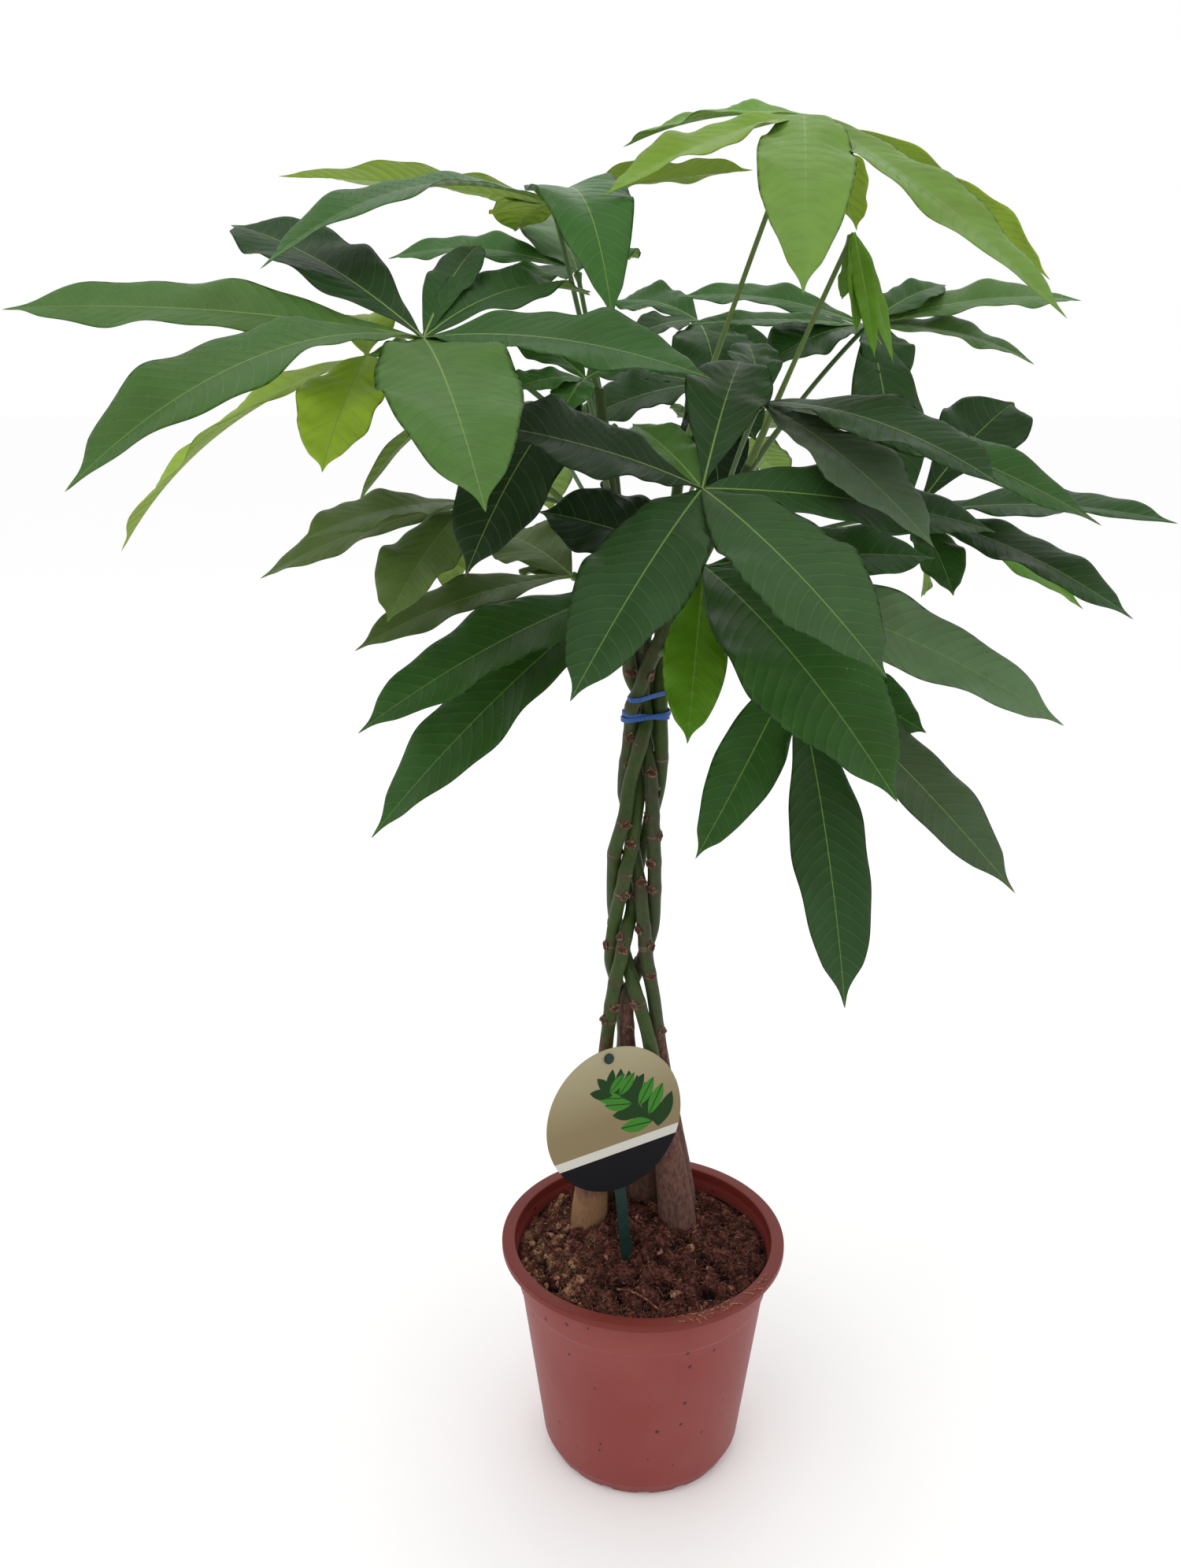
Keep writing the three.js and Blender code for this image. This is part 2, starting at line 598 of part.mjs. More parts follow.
// A leaflet: a thin arched blade with its halves folded up along the midrib and its edges waved.
function leafletSolid(start, face, row, index) {
  const [u, v, length, side, width, arch, roll = 0, bend = 0, widest = blade.widestAt] = row;
  const tip = seenAtLength([u, v], start, length, side);
  const chord = tip.clone().sub(start).normalize();
  const across = new THREE.Vector3().crossVectors(chord, face).normalize();
  const up = new THREE.Vector3().crossVectors(across, chord);
  const control = start.clone().lerp(tip, 0.5).addScaledVector(up, 2 * arch);
  control.addScaledVector(across, 2 * bend);
  const rib = new THREE.QuadraticBezierCurve3(start, control, tip);
  const points = [];
  const last = blade.stations.length - 1;
  for (const s of blade.stations.slice(0, last)) {
    const middle = rib.getPoint(s);
    const along = rib.getTangent(s);
    const out = new THREE.Vector3().crossVectors(along, face).normalize();
    out.applyAxisAngle(along, THREE.MathUtils.degToRad(roll) * smooth(s * 4));
    const normal = new THREE.Vector3().crossVectors(out, along);
    const half = Math.max(blade.stalk, (width / 2) * bladeWidth(s, widest));
    const wave = (phase) =>
      width * blade.wave * bladeWidth(s, widest) * Math.sin(2 * Math.PI * blade.waves * s + phase + index * 1.7);
    const edge = (way, phase) =>
      middle
        .clone()
        .addScaledVector(out, way * half)
        .addScaledVector(normal, blade.fold * half + wave(phase));
    const under = middle.clone().addScaledVector(normal, -blade.rib);
    const above = middle.clone().addScaledVector(normal, blade.rib);
    points.push(edge(-1, 0), under, edge(1, blade.lag), above);
  }
  const end = points.push(tip) - 1;
  const faces = [0, 1, 3, 1, 2, 3];
  for (let i = 0; i < last; i++) {
    const a = i * 4;
    for (const [p, q] of [[0, 1], [2, 1], [2, 3], [0, 3]]) {
      const flip = (p === 0) !== (q === 3);
      const tri = (x, y, z) => faces.push(...(flip ? [x, z, y] : [x, y, z]));
      if (i === last - 1) tri(a + p, a + q, end);
      else {
        tri(a + p, a + q, a + 4 + q);
        tri(a + p, a + 4 + q, a + 4 + p);
      }
    }
  }
  return solidOf(geometryFrom(points, faces));
}

function petioleSolid(start, end, bow) {
  const control = start.clone().lerp(end, 0.5).add(new THREE.Vector3(...bow));
  const line = new THREE.QuadraticBezierCurve3(start, control, end);
  const frames = line.computeFrenetFrames(petiole.steps, false);
  const rings = [];
  for (let i = 0; i <= petiole.steps; i++) {
    const share = i / petiole.steps;
    const radius = mix(petiole.root, petiole.neck, smooth(share * 2));
    const middle = line.getPointAt(share);
    rings.push(
      Array.from({ length: petiole.sides }, (_, j) => {
        const turn = (j / petiole.sides) * 2 * Math.PI;
        return middle
          .clone()
          .addScaledVector(frames.normals[i], radius * Math.cos(turn))
          .addScaledVector(frames.binormals[i], radius * Math.sin(turn));
      }),
    );
  }
  return solidOf(skin(rings));
}

function leafSolid(leaf, fatStems) {
  const middle = seenAtDepth(leaf.hub, leaf.depth);
  const root = stemMiddle(leaf.stem, leaf.from);
  const face = new THREE.Vector3(...leaf.face).normalize();
  let whole = petioleSolid(root, middle, leaf.bow);
  const knot = new THREE.IcosahedronGeometry(hub, 0).translate(...middle.toArray());
  whole = whole.add(solidOf(knot));
  leaf.leaflets.forEach((row, i) => (whole = whole.add(leafletSolid(middle, face, row, i))));
  fatStems.forEach((other) => (whole = whole.subtract(other)));
  return whole.decompose().sort((a, b) => b.volume() - a.volume())[0];
}

// ---- card and stake ----
function stakeFrame() {
  const up = stakeTop.clone().sub(stakeFoot).normalize();
  const across = new THREE.Vector3(1, 0, 0).addScaledVector(up, -up.x).normalize();
  across.applyAxisAngle(up, THREE.MathUtils.degToRad(card.yaw));
  const front = new THREE.Vector3().crossVectors(across, up);
  return new THREE.Matrix4().makeBasis(across, up, front).setPosition(stakeTop);
}

function stakeSolid() {
  const long = stakeTop.distanceTo(stakeFoot) + stake.buried;
  const half = stake.width / 2;
  const outline = new THREE.Shape()
    .moveTo(-half, half)
    .lineTo(-half, -long + stake.point)
    .lineTo(0, -long)
    .lineTo(half, -long + stake.point)
    .lineTo(half, half);
  const strip = new THREE.ExtrudeGeometry(outline, { depth: stake.thick, bevelEnabled: false });
  strip.translate(0, 0, -stake.thick);
  const pegEnd = card.thick + 2 * gap;
  const peg = new THREE.CylinderGeometry(stake.peg, stake.peg, pegEnd + stake.thick, 16);
  peg.rotateX(Math.PI / 2).translate(0, 0, (pegEnd - stake.thick) / 2);
  const button = new THREE.CylinderGeometry(stake.button, stake.button, stake.buttonThick, 16);
  button.rotateX(Math.PI / 2).translate(0, 0, pegEnd + stake.buttonThick / 2);
  return solidOf(strip).add(solidOf(peg)).add(solidOf(button));
}

function cardSolid() {
  const outline = new THREE.Shape().absarc(0, card.holeDrop - card.radius, card.radius, 0, 2 * Math.PI);
  outline.holes.push(new THREE.Path().absarc(0, 0, card.hole, 0, 2 * Math.PI, true));
  const settings = { depth: card.thick, bevelEnabled: false, curveSegments: card.sides };
  const disc = new THREE.ExtrudeGeometry(outline, settings);
  return solidOf(disc.rotateZ(THREE.MathUtils.degToRad(card.swing)).translate(0, 0, gap));
}

// ---- assembly ----
const plant = new THREE.Group();

function place(name, solid, colour, roughness) {
  const material = new THREE.MeshStandardMaterial({ color: colour, roughness, metalness: 0 });
  const mesh = new THREE.Mesh(geometryOf(solid), material);
  mesh.name = name;
  plant.add(mesh);
  return mesh;
}

place("pot", potSolid(), colours.pot, 0.5);
const fat = stems.map((_, k) => stemSolid(k, gap));
const stakePlace = stakeFrame();
const stakeHole = solidOf(
  geometryOf(stakeSolid())
    .scale(1 + (2 * gap) / stake.width, 1, 1 + (2 * gap) / stake.thick)
    .translate(0, 0, gap)
    .applyMatrix4(stakePlace),
);
let ground = soilSolid();
for (const root of fat) ground = ground.subtract(root);
place("soil", ground.subtract(stakeHole), colours.soil, 1);
stems.forEach((_, k) => place(`stem_${k + 1}`, stemSolid(k), colours.bark, 0.7));
place("rubber_band", bandSolid(), colours.band, 0.5);
for (const [name, leaf] of Object.entries(leaves)) {
  place(`leaf_${name}`, leafSolid(leaf, fat), name === "young" ? colours.youngLeaf : colours.leaf, 0.55);
}
const setUp = (solid) => solidOf(geometryOf(solid).applyMatrix4(stakePlace));
place("label_stake", setUp(stakeSolid()), colours.stake, 0.5);
place("label_card", setUp(cardSolid()), colours.card, 0.5);

export default plant;
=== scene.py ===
# A potted money tree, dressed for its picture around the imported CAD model: plaited stems with
# their leaf scars, palmate leaves with veined blades, peat with crumbs and fibres, a moulded pot.
# Metres, +Z up, the frame of the CAD. The origin is the middle of the pot's base.
import random
from functools import partial
from math import cos, exp, hypot, log, pi, radians, sin, sqrt

import bmesh
import bpy
import numpy as np
from mathutils import Matrix, Quaternion, Vector
from mathutils.geometry import convex_hull_2d


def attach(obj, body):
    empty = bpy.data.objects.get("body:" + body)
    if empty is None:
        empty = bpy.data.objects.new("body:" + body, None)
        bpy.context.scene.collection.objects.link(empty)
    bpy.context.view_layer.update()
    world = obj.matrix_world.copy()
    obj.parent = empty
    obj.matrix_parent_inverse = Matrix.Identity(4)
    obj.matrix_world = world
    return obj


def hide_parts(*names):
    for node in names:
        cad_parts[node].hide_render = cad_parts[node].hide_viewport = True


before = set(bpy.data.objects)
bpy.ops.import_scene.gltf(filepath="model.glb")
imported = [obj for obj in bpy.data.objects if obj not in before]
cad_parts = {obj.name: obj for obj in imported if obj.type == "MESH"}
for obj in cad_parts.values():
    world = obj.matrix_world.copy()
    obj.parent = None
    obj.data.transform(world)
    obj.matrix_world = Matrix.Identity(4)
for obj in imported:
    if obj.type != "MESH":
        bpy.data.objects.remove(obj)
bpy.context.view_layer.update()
mm = 0.001

# The drawing is the picture's frame: u to the right, v down, as the leaves' table uses it.
drawing = {"wide": 1500, "high": 1991, "focal": 1825}
eye = {"at": Vector((-39, -919, 828)) * mm, "pitch": radians(18), "sensor": 36}


def newObject(name, data):
    holder = bpy.data.objects.new(name, data)
    bpy.context.scene.collection.objects.link(holder)
    return holder


def makeCamera():
    camera = bpy.data.cameras.new("camera")
    camera.sensor_width = eye["sensor"]
    camera.lens = eye["sensor"] * drawing["focal"] / drawing["high"]
    holder = newObject("camera", camera)
    holder.location = eye["at"]
    holder.rotation_euler = (pi / 2 - eye["pitch"], 0, 0)
    bpy.context.scene.camera = holder


def sight(u, v):
    # The direction from the eye to a point of the drawing.
    ahead = Vector((0, cos(eye["pitch"]), -sin(eye["pitch"])))
    down = Vector((0, -sin(eye["pitch"]), -cos(eye["pitch"])))
    right = (u - drawing["wide"] / 2) / drawing["focal"]
    return ahead + down * (v - drawing["high"] / 2) / drawing["focal"] + Vector((right, 0, 0))


def seenAtDepth(u, v, depth):
    way = sight(u, v)
    return eye["at"] + way * ((depth - eye["at"].y) / way.y)


def seenAtLength(u, v, start, length, side):
    # The point of the drawing a length from a start, on its near (-1) or far (1) side.
    way = sight(u, v).normalized()
    foot = eye["at"] + way * (start - eye["at"]).dot(way)
    half = sqrt(max(0, length**2 - (foot - start).length_squared))
    return foot + way * side * half


makeCamera()
print("camera placed")


def smooth(t):
    t = min(1, max(0, t))
    return t * t * (3 - 2 * t)


def mix(a, b, t):
    return a + (b - a) * t


def bowed(a, b, c, t):
    # A point of the curve from a to c that leans towards b.
    return (1 - t) ** 2 * a + 2 * t * (1 - t) * b + t * t * c


def circle(radius, sides):
    turns = [i / sides * 2 * pi for i in range(sides)]
    return [(radius * cos(turn), radius * sin(turn)) for turn in turns]


def linear(colour):
    # An sRGB hex colour as linear red, green, blue and alpha.
    parts = [int(colour[i : i + 2], 16) / 255 for i in (1, 3, 5)]
    return (*[c / 12.92 if c <= 0.04045 else ((c + 0.055) / 1.055) ** 2.4 for c in parts], 1)


def connect(node, inputs):
    # Sets a node's inputs, by name or in order, each to a value, a node or a node's output. A list
    # as the value brings several links to one input.
    for socket, value in inputs.items() if isinstance(inputs, dict) else enumerate(inputs):
        if isinstance(socket, str):
            socket = next(i for i, s in enumerate(node.inputs) if s.enabled and s.name == socket)
        for part in value if isinstance(value, list) else [value]:
            if isinstance(part, bpy.types.Node):
                part = next(output for output in part.outputs if output.enabled)
            if isinstance(part, bpy.types.NodeSocket):
                node.id_data.links.new(part, node.inputs[socket])
            else:
                node.inputs[socket].default_value = part


def addNode(tree, kind, inputs=(), **settings):
    # Adds a node with its settings and inputs. It goes by its type without the family, and a math
    # node by its operation. A MapRange takes its value, then the limits from and to.
    if kind.isupper():
        kind, settings["operation"] = "Math", kind
    families = ("ShaderNode", "GeometryNode", "FunctionNode")
    node = tree.nodes.new(next((f + kind for f in families if hasattr(bpy.types, f + kind)), kind))
    for name, value in settings.items():
        setattr(node, name, value)
    connect(node, inputs)
    return node


def newTree(name, sockets):
    # A geometry tree with named inputs. Gives the tree, its addNode, its inputs by name and its end.
    tree = bpy.data.node_groups.new(name, "GeometryNodeTree")
    for way in ("INPUT", "OUTPUT"):
        tree.interface.new_socket("Geometry", in_out=way, socket_type="NodeSocketGeometry")
    kinds = {int: "NodeSocketInt", float: "NodeSocketFloat", type(None): "NodeSocketMaterial"}
    for label, value in sockets.items():
        socket = tree.interface.new_socket(label, in_out="INPUT", socket_type=kinds[type(value)])
        if value is not None:
            socket.default_value = value
    add = partial(addNode, tree)
    return tree, add, add("NodeGroupInput").outputs, add("NodeGroupOutput")


def endTree(add, give, result, shapes, smoothed=True):
    # Makes each shape real, gives it its material, and joins them all into the tree's result.
    parts = []
    for shape, skin in shapes:
        real = add("RealizeInstances", {"Geometry": shape})
        parts.append(add("SetMaterial", {"Geometry": real, "Material": give[skin]}))
    both = add("JoinGeometry", {"Geometry": parts})
    connect(result, [add("SetShadeSmooth", {"Geometry": both}) if smoothed else both])


def grow(name, guide, tree, values):
    # Runs a tree on a guide mesh and keeps the result as a plain mesh.
    holder = newObject(name, guide)
    modifier = holder.modifiers.new(tree.name, "NODES")
    modifier.node_group = tree
    for socket in tree.interface.items_tree:
        if socket.in_out == "INPUT" and socket.name in values:
            modifier[socket.identifier] = values[socket.name]
    depsgraph = bpy.context.evaluated_depsgraph_get()
    shape = bpy.data.meshes.new_from_object(
        holder.evaluated_get(depsgraph), preserve_all_data_layers=True, depsgraph=depsgraph
    )
    holder.modifiers.remove(modifier)
    holder.data = shape
    return holder


def guideMesh(name, lines, closed=False):
    # Open or closed lines for a node tree. Each point is a dictionary: its place and its attributes.
    points = [point for line in lines for point in line]
    edges = []
    first = 0
    for line in lines:
        edges += [(first + i, first + i + 1) for i in range(len(line) - 1)]
        if closed:
            edges.append((first + len(line) - 1, first))
        first += len(line)
    mesh = bpy.data.meshes.new(name)
    mesh.from_pydata([point["place"] for point in points], edges, [])
    kinds = {1: ("FLOAT", "value"), 3: ("FLOAT_VECTOR", "vector"), 4: ("FLOAT_COLOR", "color")}
    for key in points[0]:
        values = np.array([point[key] for point in points], np.float32)
        kind, field = kinds[values[0].size]
        mesh.attributes.new(key, kind, "POINT").data.foreach_set(field, values.ravel())
    return mesh


def newPiece(name, points, faces, smoothed=True):
    mesh = bpy.data.meshes.new(name)
    mesh.from_pydata(points, [], faces)
    mesh.validate()
    if smoothed:
        mesh.shade_smooth()
    return newObject(name, mesh)


def newMaterial(name, surface):
    # A material with one Principled shader, whose constant sockets are set here. Gives the material,
    # its addNode and the shader.
    material = bpy.data.materials.new(name)
    material.use_nodes = True
    shader = material.node_tree.nodes["Principled BSDF"]
    connect(shader, surface)
    return material, partial(addNode, material.node_tree), shader


def settle(piece, slot, *nodes):
    # The piece takes the place of CAD nodes and rides with the plant.
    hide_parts(*nodes)
    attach(piece, "root")


def plainNoise(name, dark, light, scale, rough, bumpDepth, ior=1.45):
    # A matt natural surface whose colour and relief both follow one noise.
    material, add, shader = newMaterial(name, {"IOR": ior, "Roughness": rough})
    place = add("TexCoord").outputs["Object"]
    noise = add("TexNoise", {"Vector": place, "Scale": scale, "Detail": 5.0})
    spread = add("MapRange", [noise, 0.3, 0.7])
    colour = add("Mix", {"Factor": spread, "A": linear(dark), "B": linear(light)}, data_type="RGBA")
    bump = add("Bump", {"Height": noise, "Strength": 0.8, "Distance": bumpDepth})
    connect(shader, {"Base Color": colour, "Normal": bump})
    return material


leafLook = {
    "rib": "#7f9750",  # midrib, near the hub
    "ribTip": "#64803f",
    "ribBase": 0.00092,  # half the midrib's width at the hub and at the tip, metres
    "ribEnd": 0.00034,
    "sideVein": "#6f8a4e",
    "veinShare": 0.18,
    "veinEdge": 0.2,
    "under": "#84a040",
    "flush": "#f4cfc4",
    "flushShare": 0.5,
    "flushScale": 15,  # patches per metre, about 70 mm each
    "mottle": 70,  # about 14 mm each
    "cells": 1400,  # bump of the skin's cells, drawn coarse so that it shows
    "cellShare": 0.04,
}


def waxyLeaf():
    # A living leaf's waxy skin over green tissue: satin gloss, a pale midrib and fine side veins.
    material, add, shader = newMaterial("waxy_leaf_skin", {"IOR": 1.42, "Specular IOR Level": 0.22})
    kinds = ("along", "reach", "vein", "under", "gloss")
    read = {key: add("Attribute", attribute_name=key).outputs["Fac"] for key in kinds}
    # Each leaflet's "tone" holds painted light and shade as well as its own green.
    own = add("Attribute", attribute_name="tone").outputs["Color"]
    place = add("TexCoord").outputs["Object"]
    patches = add("TexNoise", {"Vector": place, "Scale": leafLook["mottle"], "Detail": 3.0})
    lift = add("MapRange", [patches, 0, 1, 0.82, 1.18])
    mottled = add("VectorMath", {0: own, "Scale": lift}, operation="SCALE")
    # Parts of each blade carry a faint brown flush.
    clouds = add("TexNoise", {"Vector": place, "Scale": leafLook["flushScale"], "Detail": 2.0})
    share = add("MapRange", [clouds, 0.48, 0.75, 0, leafLook["flushShare"]])
    flush = {"Factor": share, "A": mottled, "B": linear(leafLook["flush"])}
    colour = add("Mix", flush, data_type="RGBA", blend_type="MULTIPLY")
    under = add("MapRange", [read["under"], 0.6, 1, 0, 0.55])
    turn = add("MULTIPLY", [read["vein"], pi])
    ridge = add("ABSOLUTE", [add("SINE", [turn])])
    veinEdges = [ridge, 0, leafLook["veinEdge"], leafLook["veinShare"], 0]
    vein = add("MapRange", veinEdges, interpolation_type="SMOOTHSTEP")
    # The midrib narrows and loses its colour towards the tip.
    ribHalf = add("MapRange", [read["along"], 0, 1, leafLook["ribBase"], leafLook["ribEnd"]])
    rib = add("MapRange", [read["reach"], 0, ribHalf, 1, 0], interpolation_type="SMOOTHSTEP")
    ribTones = {"Factor": read["along"], "A": linear(leafLook["rib"]), "B": linear(leafLook["ribTip"])}
    ribColour = add("Mix", ribTones, data_type="RGBA")
    layers = ((under, linear(leafLook["under"])), (vein, linear(leafLook["sideVein"])), (rib, ribColour))
    for share, over in layers:
        colour = add("Mix", {"Factor": share, "A": colour, "B": over}, data_type="RGBA")
    rough = add("MapRange", [read["gloss"], 0, 1, 0.58, 0.26])
    cells = add("TexNoise", {"Vector": place, "Scale": leafLook["cells"]})
    relief = add("MULTIPLY_ADD", [cells, leafLook["cellShare"], ridge])
    bump = add("Bump", {"Height": relief, "Strength": 0.85, "Distance": 0.0005})
    connect(shader, {"Base Color": colour, "Roughness": rough, "Normal": bump})
    return material


def petioleSkin():
    # A leaf stalk's smooth green skin: evenly coloured but for light mottling, with a soft shine.
    material, add, shader = newMaterial("green_stalk_skin", {"IOR": 1.42, "Roughness": 0.42})
    place = add("TexCoord").outputs["Object"]
    patches = add("TexNoise", {"Vector": place, "Scale": 90.0, "Detail": 3.0})
    tone = add("Attribute", attribute_name="tone").outputs["Color"]
    lift = add("MapRange", [patches, 0, 1, 0.75, 1.2])
    colour = add("VectorMath", {0: tone, "Scale": lift}, operation="SCALE")
    connect(shader, {"Base Color": colour})
    return material


blade = {
    "stations": 88,  # along each leaflet's midrib
    "widestAt": 0.56,
    "fullness": 0.86,
    "stalk": 1.5 * mm,
    "drip": 0.12,  # the last share of the blade, drawn out to a drip tip
    "dripDepth": 0.6,
}
petiole = {
    "root": 2.6, "neck": 1.6, "base": 3.4, "knot": 3.3,  # radii
    "baseLong": 14, "knotLong": 9, "endLong": 2, "points": 60,
    "pale": "#566c2c", "tone": "#44602c",  # the paler one carries a light leaf
}
# Tones, upper side of the blade.
# Each tone was matched to how bright its leaflet looks, so the tones hold painted light and shade
# as well as the leaf's own green: the brightest yellow-greens paint in light falling onto or shining
# through a blade, and the darkest greens, down to near black, paint in the shade within the crown.
tones = {
    "light": "#668838", "spring": "#5a8722", "fresh": "#466a2c", "green": "#345e24", "mid": "#2d531f",
    "deep": "#25491b", "dusk": "#2b4923", "paintedBlackShade": "#142912", "olive": "#4d6130", "lit": "#86a428",
    "paintedGlow": "#507f14", "haze": "#55704a", "sage": "#46692f", "moss": "#3a6022", "pine": "#33512a",
    "shade": "#223d1b", "paintedNightShade": "#1b3116", "ash": "#4b5e45", "slate": "#42583b", "bright": "#6a8c1c",
    "paintedBacklight": "#9cbc30", "khaki": "#586e38",
}

